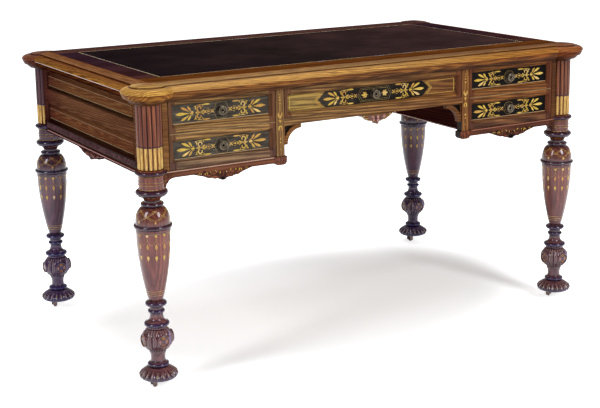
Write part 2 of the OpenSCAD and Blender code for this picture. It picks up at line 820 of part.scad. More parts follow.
// Bracket: a quarter ring in the corner with a sunk web behind it, and a thin strip along the
// rail and the upright
module kneehole_brackets() {
    strip = 3;
    set_back = 3;
    web_deep = 5;
    web_t = 4;
    color(rosewood) for (s = [0, 1]) mirror([s, 0, 0]) translate([knee, 0, z_rail]) {
        standing(-face_y + set_back, bracket_t) {
            translate([-bracket_reach, -bracket_reach]) intersection() {
                difference() {
                    circle(r = bracket_reach);
                    circle(r = bracket_reach - bracket_rib);
                }
                square(bracket_reach);
            }
            translate([-bracket_reach, -strip]) square([bracket_reach, strip]);
            translate([-strip, -bracket_reach]) square([strip, bracket_reach]);
        }
        standing(-face_y + set_back + web_deep, web_t)
            translate([-bracket_reach, -bracket_reach]) difference() {
                square(bracket_reach);
                circle(r = bracket_reach - bracket_rib / 2);
            }
    }
}

module bottom_boards() {
    color(drawer_wood) for (s = [0, 1]) mirror([s, 0, 0]) difference() {
        box_between([knee + inner_t, -back_of_front, z_bank],
                    [face_x - frame_t, back_of_front, z_floor_board]);
        leg_space();
    }
}

// Runner and guide of one side of a drawer, from the wall at x0 towards the drawer at x1
module runner(wall, side, top, t) {
    way = wall < side ? 1 : -1;
    tuck = 16;
    low_x = min(wall, side + way * (slide_gap + tuck));
    high_x = max(wall, side + way * (slide_gap + tuck));
    guide_low = min(side - way * slide_gap, side - way * (slide_gap + guide_w));
    guide_high = max(side - way * slide_gap, side - way * (slide_gap + guide_w));
    box_between([low_x, -back_of_front, top - t], [high_x, back_of_front, top]);
    box_between([max(guide_low, min(wall, side)), -back_of_front, top + glue_line],
                [min(guide_high, max(wall, side)), back_of_front, top + guide_h]);
    stop_low = min(side, side + way * tuck);
    box_between([stop_low, -back_of_front + box_len + slide_gap, top + glue_line],
                [stop_low + tuck, -back_of_front + box_len + slide_gap + stop_len, top + guide_h]);
}

module drawer_runners() {
    color(drawer_wood) difference() {
        union() {
            for (s = [0, 1]) mirror([s, 0, 0]) {
                for (level = [0, 1]) {
                    t = level == 0 ? low_runner_t : runner_t;
                    half = box_half(level == 0 ? 3 : 2);
                    runner(knee + inner_t, bay_mid - half, runner_top[level], t);
                    runner(face_x - frame_t, bay_mid + half, runner_top[level], t);
                }
                runner(knee, box_half(4), runner_top[2], runner_t);
            }
        }
        leg_space();
    }
}

for (n = [0:3]) {
    leg(n);
    castor_fork(n);
    castor_wheel(n);
}
for (n = [0:4]) {
    drawer_front(n);
    drawer_panel(n);
    drawer_box(n);
    drawer_bottom(n);
    drawer_knob(n);
}
top_board();
leather_panel();
edge_mouldings();
corner_caps();
gilt_reed_strips();
castor_sockets();
side_frame_at(-1);  // left_side_frame
side_frame_at(1);  // right_side_frame
side_panels();
back_frame();
back_panels();
inner_side(-1);  // left_inner_side
inner_side(1);  // right_inner_side
top_rails();
upright(-1);  // left_upright
upright(1);  // right_upright
apron(-1);  // left_apron
apron(1);  // right_apron
centre_rail();
kneehole_brackets();
bottom_boards();
drawer_runners();
top_screws();
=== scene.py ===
"""Looks of a writing table: turned and carved legs, moulded edge, leather, inlay and finishes.

The table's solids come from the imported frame. Lengths in the code are metres, and a value that
ends in "* MM" is written in millimetres. Strokes and profiles are drawn in millimetres and made
metres where they become a surface. +X runs along the table, -Y is its front and +Z is up.
"""

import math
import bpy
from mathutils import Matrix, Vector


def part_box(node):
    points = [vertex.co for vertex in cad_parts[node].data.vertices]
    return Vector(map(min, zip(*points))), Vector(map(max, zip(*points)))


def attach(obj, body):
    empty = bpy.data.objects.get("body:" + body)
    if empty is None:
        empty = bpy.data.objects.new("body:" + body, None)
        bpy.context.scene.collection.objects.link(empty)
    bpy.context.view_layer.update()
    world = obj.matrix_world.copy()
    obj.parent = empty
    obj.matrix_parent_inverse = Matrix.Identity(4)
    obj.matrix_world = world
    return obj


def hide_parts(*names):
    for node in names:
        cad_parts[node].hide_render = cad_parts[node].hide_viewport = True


bl_info = {
    "name": "Writing Table Looks",
    "version": (1, 0, 0),
    "blender": (4, 5, 0),
    "location": "View3D > Sidebar > Writing Table",
    "description": "Dresses the solids of a writing table with turning, carving, inlay and finishes",
    "category": "Object",
}

import bpy
import numpy as np
from bpy.props import FloatProperty, FloatVectorProperty, IntProperty, PointerProperty
from mathutils import Matrix

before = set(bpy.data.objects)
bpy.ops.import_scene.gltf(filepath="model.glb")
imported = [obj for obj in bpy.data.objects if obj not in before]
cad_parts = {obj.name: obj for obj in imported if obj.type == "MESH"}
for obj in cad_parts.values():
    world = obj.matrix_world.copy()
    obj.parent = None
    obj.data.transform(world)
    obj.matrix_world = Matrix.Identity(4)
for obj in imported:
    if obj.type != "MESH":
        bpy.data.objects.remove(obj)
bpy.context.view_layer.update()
MM = 0.001
CORNERS = ("front_left", "front_right", "back_left", "back_right")
DRAWERS = ("upper_left", "lower_left", "upper_right", "lower_right", "centre")
SIDES = (("left", -1), ("right", 1))
UP = (0, 0, 1)


def low(node):
    """Lowest corner of a node's box, as an array."""
    return np.array(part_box(node)[0])


def high(node):
    """Highest corner of a node's box, as an array."""
    return np.array(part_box(node)[1])


def centre_of(node):
    """Middle of a node's box, as an array."""
    return (low(node) + high(node)) / 2


def linear(red, green, blue):
    """Colour written as on a screen, from 0 to 255, turned into linear light."""
    c = np.array([red, green, blue]) / 255
    return tuple(float(x) for x in np.where(c <= 0.04045, c / 12.92, ((c + 0.055) / 1.055) ** 2.4))


# Heights, faces and leg axes of the frame, which the new pieces are set by

FOOT_Z = float(low("front_left_leg")[2])
BANK_Z = float(low("left_inner_side")[2])
REEDS_Z = float(high("gilt_reed_strips")[2])
GILT_Z = float(low("gilt_reed_strips")[2])
CAP_Z = float(low("corner_caps")[2])
TOP_Z = float(high("edge_mouldings")[2])
EDGE_Z = float(low("edge_mouldings")[2])
LEG_X, LEG_Y = (float(x) for x in centre_of("back_right_leg")[:2])
FACE_Y = -float(low("upper_left_drawer_front")[1])
LEDGE_OUT = 1.5 * MM
FACE_X = float(high("right_side_frame")[0]) - LEDGE_OUT
PANEL_Y = -float(low("upper_left_drawer_panel")[1])
LEATHER_LOW, LEATHER_HIGH = low("leather_panel"), high("leather_panel")


# Sizes and colours

def length(name, words, size):
    """A length property whose default is given in millimetres."""
    return FloatProperty(name=name, description=words, default=size * MM, unit="LENGTH")


def amount(name, words, number):
    """A property for a number of like things."""
    return IntProperty(name=name, description=words, default=number, min=1)


def power(name, words, watts):
    """A lamp's power property."""
    return FloatProperty(name=name, description=words, default=watts, unit="POWER")


def colour(name, words, rgb):
    """A colour property whose default is written as on a screen."""
    return FloatVectorProperty(name=name, description=words, default=linear(*rgb),
                               subtype="COLOR", size=3, min=0, max=1)


class TableSizes(bpy.types.PropertyGroup):
    """Sizes of the turning, carving and inlay."""

    reed_count: amount("Reeds", "Reeds round a leg's column", 16)
    column_radius: length("Column radius", "Radius of a leg's column over its reeds", 32)
    reed_radius: length("Reed radius", "Radius of one reed", 6.2)
    ball_radius: length("Ball radius", "Radius of the ball above the foot", 38.4)
    roundel_radius: length("Roundel radius", "Radius of the four roundels on a ball", 16.5)
    vase_radius: length("Vase radius", "Radius of a leg's vase at its top", 42)
    foot_radius: length("Foot radius", "Radius of a leg's foot", 48.4)
    lobe_count: amount("Lobes", "Carved lobes round a foot", 20)
    lobe_depth: length("Lobe depth", "Depth of the valleys between a foot's lobes", 3.2)
    nose: length("Nose", "Overhang of the moulded edge beyond the leg centres", 48.5)
    cap_step: length("Cap step", "How far a corner cap stands out beyond the straight moulding",
                     17.8)
    knob_radius: length("Knob radius", "Radius of a drawer knob", 13.5)
    inlay_proud: length("Inlay proud", "How far inlay stands out of its ground", 0.25)
    carving_relief: length("Carving relief", "Height of the carved leaves", 2.6)
    line_inset: length("Line inset", "Distance of the leather's gilt line from its edge", 4.5)
    line_width: length("Line width", "Width of the leather's gilt line", 2.4)


class TableColours(bpy.types.PropertyGroup):
    """Colours of the finishes, each the middle tone of its surface."""

    rosewood: colour("Rosewood", "Rails, stiles and drawer fronts", (106, 75, 45))
    golden: colour("Golden rosewood", "Moulded edge and corner caps", (146, 112, 58))
    side_wood: colour("Side rosewood", "Side frames and panels", (88, 57, 40))
    leg_wood: colour("Leg wood", "Turned legs", (92, 46, 36))
    board: colour("Top board", "Flat surround of the leather", (50, 27, 27))
    lining: colour("Drawer lining", "Drawer boxes and runners", (168, 128, 84))
    ebony: colour("Ebonised wood", "Ground of the side drawers' panels", (68, 62, 56))
    inlay: colour("Inlay wood", "Leaves and scrolls of the inlay", (206, 166, 82))
    gilding: colour("Gilding", "Gilded reeds and lines", (186, 150, 84))
    bronze: colour("Bronze", "Drawer knobs", (104, 94, 80))
    brass: colour("Brass", "Castors", (112, 96, 92))
    leather: colour("Leather", "Writing surface", (29, 22, 22))


class StageSettings(bpy.types.PropertyGroup):
    """Camera and lamps."""

    lens: FloatProperty(name="Lens", description="Focal length on a 36 mm wide sensor",
                        default=76.938, unit="CAMERA")
    key_power: power("Key", "Power of the lamp on the right", 150)
    fill_power: power("Fill", "Power of the lamp on the left", 95)
    top_power: power("Top", "Power of the lamp overhead", 90)


# Surfaces

def weave(rows, cols, close_rows=False, close_cols=False):
    """Quads of a grid of rows by cols points. Each faces along the step to the next column
    crossed with the step to the next row."""
    i = np.arange(rows if close_rows else rows - 1)[:, None]
    j = np.arange(cols if close_cols else cols - 1)[None, :]
    a, b = i * cols, ((i + 1) % rows) * cols
    p, q = j, (j + 1) % cols
    return np.stack([a + p, a + q, b + q, b + p], axis=-1).reshape(-1, 4)


def join(parts):
    """Joins surfaces, each (points, list of face arrays, values), into one."""
    points, faces, values, start = [], [], [], 0
    for p, fs, v in parts:
        points.append(p)
        values.append(v)
        faces += [f + start for f in fs]
        start += len(p)
    return np.concatenate(points), faces, np.concatenate(values)


def piece(name, body, material, surface, replaced=(), sharp=40):
    """Makes a mesh object of a surface. Its third array becomes the point attribute "tone"."""
    points, faces, tone = surface
    mesh = bpy.data.meshes.new(name)
    sizes = np.concatenate([np.full(len(f), f.shape[1]) for f in faces])
    loops = np.concatenate([f.ravel() for f in faces]).astype(np.int32)
    mesh.vertices.add(len(points))
    mesh.vertices.foreach_set("co", np.ascontiguousarray(points, np.float32).ravel())
    mesh.loops.add(len(loops))
    mesh.loops.foreach_set("vertex_index", loops)
    mesh.polygons.add(len(sizes))
    mesh.polygons.foreach_set("loop_start", (np.cumsum(sizes) - sizes).astype(np.int32))
    mesh.update(calc_edges=True)
    mesh.attributes.new("tone", "FLOAT", "POINT").data.foreach_set(
        "value", np.ascontiguousarray(tone, np.float32))
    mesh.shade_smooth()
    mesh.set_sharp_from_angle(angle=math.radians(sharp))
    mesh.materials.append(material)
    obj = bpy.data.objects.new(name, mesh)
    bpy.context.scene.collection.objects.link(obj)
    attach(obj, body)
    if replaced:
        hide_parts(*replaced)
    return obj


def placed(surface, origin, ex, ey, ez):
    """A surface moved from its own axes to the axes ex, ey and ez at an origin."""
    points, faces, tone = surface
    return np.asarray(origin) + points @ np.array([ex, ey, ez], float), faces, tone


CUT_DEPTH = 2.6 * MM


def turned(profile, segments=64, shape=None, tone=None):
    """Lathe surface about Z, closed at both ends. A row of points lies at each profile point
    (radius, height), and the radius may change round it by shape(angles, radii, heights). The
    tone of a point is its row's own, or its depth in a cut along the row where that is more."""
    radius, height = np.asarray(profile, float).T
    angle = np.arange(segments) * 2 * np.pi / segments
    r = np.repeat(radius[:, None], segments, axis=1)
    if shape is not None:
        r = shape(angle[None, :], r, height[:, None])
    ring = np.stack([r * np.cos(angle), r * np.sin(angle), height[:, None] + 0 * r], axis=-1)
    rows = len(radius)
    poles = [[0, 0, height[0]], [0, 0, height[-1]]]
    points = np.concatenate([ring.reshape(-1, 3), poles])
    j = np.arange(segments)
    k = (j + 1) % segments
    last, bottom, top = (rows - 1) * segments, rows * segments, rows * segments + 1
    caps = np.concatenate([np.stack([bottom + 0 * j, k, j], axis=1),
                           np.stack([top + 0 * j, last + j, last + k], axis=1)])
    values = np.zeros(rows) if tone is None else np.asarray(tone, float)
    # The depth in a cut becomes tone, which the legs' finish paints as shade
    cut = np.clip((r.max(axis=1, keepdims=True) - r) / CUT_DEPTH, 0, 1)
    shade = np.maximum(values[:, None], cut).ravel()
    values = np.concatenate([shade, values[[0, -1]]])
    return points, [weave(rows, segments, close_cols=True), caps], values


def lengths(profile):
    """Length along a profile from its start to each of its points."""
    return np.concatenate([[0], np.cumsum(np.hypot(*np.diff(profile, axis=0).T))])


CLOSE_SHARE = 0.12


def finer(profile, step):
    """A profile with points added at every step along it, but not close beside its own."""
    p = np.asarray(profile, float)
    along = lengths(p)
    extra = np.arange(0, along[-1], step)
    gap = np.abs(extra[:, None] - along[None]).min(axis=1)
    marks = np.union1d(extra[gap > step * CLOSE_SHARE], along)
    return np.stack([np.interp(marks, along, p[:, 0]), np.interp(marks, along, p[:, 1])], axis=1)


def hollows(profile, reach):
    """Shade of each profile point, from 0 on a crest to 1 in a hollow: how far its radius lies
    under the mean radius within the reach along the profile."""
    samples, full_depth = 1200, 0.8 * reach
    along = lengths(profile)
    even = np.linspace(0, along[-1], samples)
    r = np.interp(even, along, profile[:, 0])
    n = max(3, int(reach / (even[1] - even[0])))
    mean = np.convolve(np.pad(r, n, mode="edge"), np.ones(2 * n + 1) / (2 * n + 1), "valid")
    shade = np.clip(0.5 + (mean - r) / full_depth, 0, 1)
    return np.interp(along, even, shade)


# Strokes: leaves, scrolls, lines and dots as narrow ribbons along a spine

STEPS = 14
RUN = np.linspace(0, 1, STEPS)
THIN = 0.04


def leaf(base, tip, width, bend=0.0, peak=0.6):
    """Pointed leaf. Its spine bows sideways as a parabola by bend times its length, and its half
    width is a sine of the run raised so that it is widest at the peak."""
    base, tip = np.array(base, float), np.array(tip, float)
    along = tip - base
    side = np.array([-along[1], along[0]])
    spine = base + RUN[:, None] * along + (4 * bend * RUN * (1 - RUN))[:, None] * side
    return spine, width * np.sin(np.pi * RUN ** (math.log(0.5) / math.log(peak))) + THIN


def line(start, end, width):
    """Straight line of even width."""
    return leaf(start, end, 0)[0], np.full(STEPS, float(width))


def bow(centre, radius, start, end, width, grow=0.0, thin=0.0):
    """Arc or scroll. The radius changes by grow over the turn and the half width by thin, both as
    shares. Angles are in degrees."""
    a = np.radians(start + (end - start) * RUN)
    r = radius * (1 + grow * RUN)
    spine = np.array(centre, float) + np.stack([r * np.cos(a), r * np.sin(a)], axis=1)
    return spine, width * (1 + thin * RUN) + THIN


def dot(centre, radius, tall=1.0):
    """Round or oval dot: a short upright spine whose half width follows a circle."""
    s = -np.cos(np.pi * RUN)
    spine = np.array(centre, float) + np.stack([0 * s, s * radius * tall], axis=1)
    return spine, radius * np.sqrt(np.clip(1 - s * s, 0, 1)) + THIN


def mirrored(strokes, axis):
    """The strokes and their images across u = 0 (axis 0) or v = 0 (axis 1)."""
    flip = np.array([-1.0, 1.0]) if axis == 0 else np.array([1.0, -1.0])
    return strokes + [(spine * flip, width) for spine, width in strokes]


def widened(strokes, grow):
    """The strokes made wider, for the dark painted shade round carved leaves."""
    return [(spine, width + grow) for spine, width in strokes]


def moved(strokes, du=0.0, dv=0.0, size=1.0):
    """The strokes scaled and then moved."""
    return [(spine * size + [du, dv], width * size) for spine, width in strokes]


FLAT = np.array([[-1, -1], [-1, 0.6], [-0.7, 1], [0.7, 1], [1, 0.6], [1, -1]], float)
ROUND = np.array([[-1, -1]] + [[-math.cos(a), math.sin(a)] for a in np.linspace(0, np.pi, 9)]
                 + [[1, -1]], float)


def ribbons(strokes, place, height, sink, section=FLAT, crown=False, seed=1):
    """Closed ribbons along all strokes at once, which are in millimetres. Across each spine the
    section gives the share of the half width, and of the height above the ground or of the sink
    below it. A crowned ribbon's height also follows its width. place(u, v, h) maps them on the
    ground. The tone is a random number for each stroke."""
    spine = np.stack([s for s, w in strokes]) * MM
    width = np.stack([w for s, w in strokes]) * MM
    tangent = np.gradient(spine, axis=1)
    tangent /= np.maximum(np.linalg.norm(tangent, axis=2, keepdims=True), 1e-12)
    side = np.stack([-tangent[..., 1], tangent[..., 0]], axis=-1)
    t, share = section.T
    flat = spine[:, :, None, :] + side[:, :, None, :] * (width[..., None] * t)[..., None]
    rise = np.full(width.shape, height)
    if crown:
        rise = height * width / np.maximum(width.max(axis=1, keepdims=True), 1e-12)
    h = np.where(share < 0, sink * share, rise[..., None] * share)
    points = place(flat[..., 0], flat[..., 1], h)
    count, steps, across = h.shape
    one = weave(steps, across, close_cols=True)[:, ::-1]
    start = (np.arange(count) * steps * across)[:, None, None]
    quads = (one[None] + start).reshape(-1, 4)
    ends = np.stack([np.arange(across), (steps * across - 1) - np.arange(across)])
    ends = (ends[None] + start).reshape(-1, across)
    draw = np.random.default_rng(seed).random(count)
    return points.reshape(-1, 3), [quads, ends], np.repeat(draw, steps * across)


def on_front(x, y, z):
    """Ground that faces the front: u runs along X and v up."""
    return lambda u, v, h: np.stack([x + u, -y - h, z + v], axis=-1)


def on_side(s, x, z):
    """Ground that faces outwards on the left (s = -1) or right (s = 1) side."""
    return lambda u, v, h: np.stack([s * (x + h), s * u + 0 * v, z + v], axis=-1)


def on_top(z):
    """Ground that faces up."""
    return lambda u, v, h: np.stack([u, v, z + h], axis=-1)


def on_plane(origin, eu, ev, away):
    """Flat ground through an origin: u, v and the height run along three directions."""
    eu, ev, away = (np.asarray(e, float) for e in (eu, ev, away))
    return lambda u, v, h: origin + u[..., None] * eu + v[..., None] * ev + h[..., None] * away


def on_turning(centre, profile, reference):
    """Ground round a turned piece: u is an arc at the reference radius, v the height, and the
    radius comes from the profile, whose heights rise."""
    radius, height = np.asarray(profile, float).T

    def place(u, v, h):
        r = np.interp(v, height, radius) + h
        a = u / reference
        return np.stack([centre[0] + r * np.cos(a), centre[1] + r * np.sin(a), v], axis=-1)
    return place


# Materials

WHITE = (1, 1, 1)
COAT_ROUGHNESS = 0.1


def shader(name, roughness, metallic=0.0, specular=0.5):
    """A new material and its main shader, with the values that are the same all over set."""
    material = bpy.data.materials.new(name)
    material.use_nodes = True
    main = material.node_tree.nodes["Principled BSDF"]
    for key, value in (("Roughness", roughness), ("Metallic", metallic),
                       ("Specular IOR Level", specular), ("Coat Roughness", COAT_ROUGHNESS)):
        main.inputs[key].default_value = value
    return material, main


def link(owner, output, socket):
    """Links a node's output to a socket, in a material or a world."""
    owner.node_tree.links.new(output, socket)


def node(owner, kind, inputs=(), **settings):
    """Adds a node, links or sets its inputs and sets its properties."""
    made = owner.node_tree.nodes.new(kind)
    for key, value in settings.items():
        setattr(made, key, value)
    for key, value in dict(inputs).items():
        if isinstance(value, bpy.types.NodeSocket):
            link(owner, value, made.inputs[key])
        else:
            made.inputs[key].default_value = value
    return made


def maths(owner, operation, *values):
    """Result of a Math node on one to three values."""
    return node(owner, "ShaderNodeMath", dict(enumerate(values)), operation=operation).outputs[0]


def axis_of(owner, vector, axis):
    """One axis of a vector."""
    return node(owner, "ShaderNodeSeparateXYZ", {"Vector": vector}).outputs[axis]


def spread(owner, value, low_in, high_in, low_out, high_out, **settings):
    """Maps a value from one range to another, clamped."""
    return node(owner, "ShaderNodeMapRange", {
        "Value": value, "From Min": low_in, "From Max": high_in,
        "To Min": low_out, "To Max": high_out}, **settings).outputs["Result"]


def object_place(material):
    """Object coordinates."""
    return node(material, "ShaderNodeTexCoord").outputs["Object"]


def stretched(material, vector, scale, **more):
    """A vector with its axes scaled, which draws a pattern out along an axis of a small scale."""
    return node(material, "ShaderNodeMapping", {"Vector": vector, "Scale": scale, **more}).outputs[0]


def tone_of(material):
    """The tone attribute of the piece."""
    return node(material, "ShaderNodeAttribute", attribute_name="tone").outputs["Fac"]


def ramp(material, factor, stops):
    """Colour ramp from (place, red, green, blue) stops. It is even before the first stop and
    after the last."""
    made = node(material, "ShaderNodeValToRGB", {"Fac": factor})
    band = made.color_ramp
    while len(band.elements) < len(stops):
        band.elements.new(0.5)
    for element, (at, *rgb) in zip(band.elements, stops):
        element.position = at
        element.color = (*rgb, 1)
    return made.outputs["Color"]


def noise(material, vector, scale, detail, rough=0.55):
    """Value of a noise texture."""
    return node(material, "ShaderNodeTexNoise", {
        "Vector": vector, "Scale": scale, "Detail": detail, "Roughness": rough}).outputs["Fac"]


def tinted(rgb, factor, shift=WHITE):
    """A colour made lighter or darker, with its channels weighted."""
    return tuple(float(min(1, c * factor * k)) for c, k in zip(rgb, shift))


def shaded(rgb, *shades):
    """Stops of one colour in several shades, each (place, factor) or (place, factor, shift)."""
    return [(at, *tinted(rgb, *rest)) for at, *rest in shades]


def mixed(material, kind, factor, a, b):
    """Mix of two colours."""
    made = node(material, "ShaderNodeMix", data_type="RGBA", blend_type=kind)
    for socket, value in ((made.inputs[0], factor), (made.inputs[6], a), (made.inputs[7], b)):
        if isinstance(value, bpy.types.NodeSocket):
            link(material, value, socket)
        elif isinstance(value, tuple):
            socket.default_value = (*value, 1)
        else:
            socket.default_value = value
    return made.outputs[2]


def times(material, a, b):
    """Product of two colours."""
    return mixed(material, "MULTIPLY", 1.0, a, b)


def ramped(material, tones, value, low_at, high_at, stops):
    """Colours recoloured by a ramp over a value that runs from low to high."""
    return times(material, tones, ramp(material, spread(material, value, low_at, high_at, 0, 1), stops))


def bumped(material, main, height, strength, distance):
    """Bump on the main shader."""
    made = node(material, "ShaderNodeBump", {"Height": height, "Strength": strength,
                                             "Distance": distance})
    link(material, made.outputs["Normal"], main.inputs["Normal"])


GRAIN_STRETCH = 0.05
GRAINS = {axis: tuple(GRAIN_STRETCH if a == axis else 1.0 for a in "XYZ") for axis in "XYZ"}
WAVE_SHARE, CLOUD_SHARE, STREAK_SHARE = 0.2, 0.5, 0.5
STILE_BLUR = 0.2 * MM

# Scales of the wood's patterns over the pitch of its figure, and how far its grain swings in
# pitches; then scales of the other finishes' patterns, in cells to the metre

SWING_SCALE, WAVE_SCALE, CLOUD_SCALE, STREAK_SCALE, PORE_SCALE = 0.06, 0.314, 0.05, 1.4, 6
UPRIGHT_SCALE, SWING_REACH = 0.9, 14
TARNISH, SCRATCHES, RUBBING, INLAY_GRAIN, EBONY_CLOUD = 90, 900, 330, 420, 160
LEATHER_PATCH, LEATHER_SCUFF, LEATHER_PEBBLE, FLOOR_CLOUD = 4.5, 14, 900.0, 1.5


def wood(name, rgb, grain, contrast=1.0, pitch=5 * MM, roughness=0.36, specular=0.08,
         bands=None, cheeks=0.0, offset=0.0, along=(), stiles=None):
    """Streaky wood. Ribbons of figure run along the grain: a wave across it, bent by noise, with
    finer streaks and pores. bands recolours the wood by the tone attribute, the cheek share darkens
    it as painted shade where it doesn't face the front or back, and along gives (axis, low, high,
    stops) ramps over the part. stiles is the middle and the half length, along X on either side of
    the table, between which the grain runs; beyond them the wood is plain and upright."""
    material, main = shader(name, roughness, specular=specular)
    where = object_place(material)
    vector = stretched(material, where, GRAINS[grain], Location=(offset, offset, offset))
    slow = node(material, "ShaderNodeTexNoise", {
        "Vector": vector, "Scale": SWING_SCALE / pitch, "Detail": 3.0})
    swing = node(material, "ShaderNodeVectorMath", {
        0: slow.outputs["Color"], "Scale": pitch * SWING_REACH}, operation="SCALE")
    bent = node(material, "ShaderNodeVectorMath", {0: vector, 1: swing.outputs[0]},
                operation="ADD").outputs[0]
    wave = node(material, "ShaderNodeTexWave", {
        "Vector": bent, "Scale": WAVE_SCALE / pitch, "Distortion": 2.5, "Detail": 3.0,
        "Detail Scale": 1.4, "Detail Roughness": 0.6},
        wave_type="BANDS", bands_direction="DIAGONAL").outputs["Fac"]
    cloud = noise(material, bent, CLOUD_SCALE / pitch, 3, 0.6)
    streak = noise(material, vector, STREAK_SCALE / pitch, 5, 0.66)
    body = maths(material, "MULTIPLY", wave, WAVE_SHARE)
    body = maths(material, "MULTIPLY_ADD", cloud, CLOUD_SHARE, body)
    body = maths(material, "MULTIPLY_ADD", streak, STREAK_SHARE, body)
    c = contrast
    tones = ramp(material, body, shaded(
        rgb, (0.44, 1 - 0.72 * c, (1.0, 0.85, 0.85)), (0.53, 1 - 0.4 * c, (1.02, 0.93, 0.88)),
        (0.61, 1 - 0.05 * c), (0.68, 1 + 0.4 * c, (1.0, 1.04, 0.95)),
        (0.76, 1 + 1.3 * c, (1.0, 1.06, 0.9))))
    pores = noise(material, vector, PORE_SCALE / pitch, 2, 0.5)
    pores = spread(material, pores, 0.36, 0.46, 0.6, 1.0)
    tones = mixed(material, "MULTIPLY", 0.6 * c, tones, pores)
    if stiles:
        middle, half = stiles
        off = maths(material, "ABSOLUTE", axis_of(material, where, "X"))
        off = maths(material, "ABSOLUTE", maths(material, "SUBTRACT", off, middle))
        upright = stretched(material, where, GRAINS["Z"])
        upright = noise(material, upright, UPRIGHT_SCALE / pitch, 5, 0.66)
        plain = ramp(material, upright, shaded(
            rgb, (0.36, 0.45, (1, 0.78, 0.95)), (0.52, 0.75, (1, 0.8, 0.95)),
            (0.66, 1.0, (1, 0.85, 0.95))))
        beyond = spread(material, off, half - STILE_BLUR, half + STILE_BLUR, 0, 1)
        tones = mixed(material, "MIX", beyond, tones, plain)
    if bands:
        tones = times(material, tones, ramp(material, tone_of(material), bands))
    # Painted shade where the surface doesn't face the front or back
    if cheeks:
        normal = node(material, "ShaderNodeNewGeometry").outputs["Normal"]
        level = maths(material, "ABSOLUTE", axis_of(material, normal, "Y"))
        tones = times(material, tones, spread(material, level, 0.2, 0.6, 1 - cheeks, 1.0))
    for axis, low_at, high_at, stops in along:
        tones = ramped(material, tones, axis_of(material, where, axis), low_at, high_at, stops)
    link(material, tones, main.inputs["Base Color"])
    link(material, spread(material, streak, 0.3, 0.7, roughness + 0.1, roughness - 0.06),
         main.inputs["Roughness"])
    bumped(material, main, streak, 0.1, 0.3 * MM)
    return material


def metal(name, rgb, roughness, worn):
    """Aged metal: two noises spread tarnish over the colour and the roughness, and it is black
    where the tone attribute is high, as painted shade in the knobs' eyes and grooves."""
    material, main = shader(name, roughness, metallic=1.0)
    where = object_place(material)
    cloud = noise(material, where, TARNISH, 5, 0.65)
    fine = noise(material, where, SCRATCHES, 3, 0.6)
    tones = ramp(material, cloud, shaded(rgb, (0.3, worn), (0.5, 0.85), (0.7, 1.15)))
    tones = times(material, tones, spread(material, tone_of(material), 0.0, 0.9, 1.0, 0.02))
    link(material, tones, main.inputs["Base Color"])
    link(material, spread(material, fine, 0.3, 0.7, roughness - 0.08, roughness + 0.14),
         main.inputs["Roughness"])
    bumped(material, main, fine, 0.15, 0.15 * MM)
    return material


def gilded(name, rgb):
    """Rubbed gilding: upright streaks of brown ground show through the gold."""
    material, main = shader(name, 0.42, metallic=0.35, specular=0.3)
    upright = stretched(material, object_place(material), (1, 1, 0.12))
    rub = noise(material, upright, RUBBING, 5, 0.68)
    tones = ramp(material, rub, shaded(
        rgb, (0.32, 0.22, (1, 0.75, 0.6)), (0.44, 0.75, (1, 0.93, 0.85)), (0.56, 1.0),
        (0.72, 1.25, (1, 1.02, 1.15))))
    link(material, tones, main.inputs["Base Color"])
    bumped(material, main, rub, 0.2, 0.2 * MM)
    return material


def inlay_wood(name, rgb, shades=0.5):
    """Inlaid wood: each stroke has its own tone, from orange-brown to pale yellow, with fine grain
    and rubbed spots."""
    material, main = shader(name, 0.4, specular=0.15)
    base = ramp(material, tone_of(material), shaded(
        rgb, (0.0, 0.8, (1.0, 0.78, 0.75)), (0.35, 0.9, (1.0, 0.96, 0.9)),
        (0.65, 0.95, (1, 1.06, 0.6)), (0.85, 1.1, (1, 1.08, 1.1)), (1.0, 1.1, (1.1, 1.2, 2.2))))
    grain = noise(material, object_place(material), INLAY_GRAIN, 4, 0.6)
    grain = spread(material, grain, 0.3, 0.7, 1 - shades, 1.1)
    link(material, times(material, base, grain), main.inputs["Base Color"])
    bumped(material, main, grain, 0.1, 0.1 * MM)
    return material


def ebonised(name, rgb):
    """Ebonised panel: near black with faint cloudy streaks along X and a satin polish. It is
    greener on the left of the table and blacker on the right."""
    material, main = shader(name, 0.42, specular=0.04)
    where = object_place(material)
    streak = noise(material, stretched(material, where, (0.15, 1, 1)), EBONY_CLOUD, 5, 0.62)
    tones = ramp(material, streak, shaded(rgb, (0.36, 0.5), (0.52, 1.0), (0.68, 1.9)))
    tones = ramped(material, tones, axis_of(material, where, "X"), -0.6, 0.5, [
        (0.0, 1.0, 1.0, 0.97), (0.3, 0.75, 0.74, 0.68), (0.5, 0.2, 0.18, 0.17),
        (1.0, 0.05, 0.045, 0.05)])
    link(material, tones, main.inputs["Base Color"])
    bumped(material, main, streak, 0.08, 0.2 * MM)
    return material


def leather_hide(name, rgb):
    """Old desk leather: pebbled grain from cells, slow rubbed patches, and a painted reflection that
    makes it lighter and browner towards the right of the table."""
    material, main = shader(name, 0.6, specular=0.0)
    where = object_place(material)
    patch = noise(material, where, LEATHER_PATCH, 5, 0.65)
    slanted = stretched(material, where, (1, 3.5, 1), Rotation=(0, 0, 0.4))
    scuff = noise(material, slanted, LEATHER_SCUFF, 6, 0.7)
    tones = ramp(material, patch, shaded(rgb, (0.3, 0.6), (0.5, 1.0), (0.72, 1.7, (1.1, 0.95, 0.9))))
    # Painted reflection: lighter and browner towards the right
    tones = ramped(material, tones, axis_of(material, where, "X"), -0.5, 0.5, [
        (0.0, 0.75, 0.7, 0.8), (0.45, 1.0, 0.95, 0.95), (1.0, 2.4, 1.9, 1.9)])
    rub = spread(material, scuff, 0.6, 0.78, 0.0, 0.35)
    tones = mixed(material, "MIX", rub, tones, tinted(rgb, 4.0, (1.1, 0.95, 0.95)))
    link(material, tones, main.inputs["Base Color"])
    cells = node(material, "ShaderNodeTexVoronoi", {"Vector": where, "Scale": LEATHER_PEBBLE},
                 feature="SMOOTH_F1").outputs["Distance"]
    bumped(material, main, cells, 0.25, 0.2 * MM)
    return material
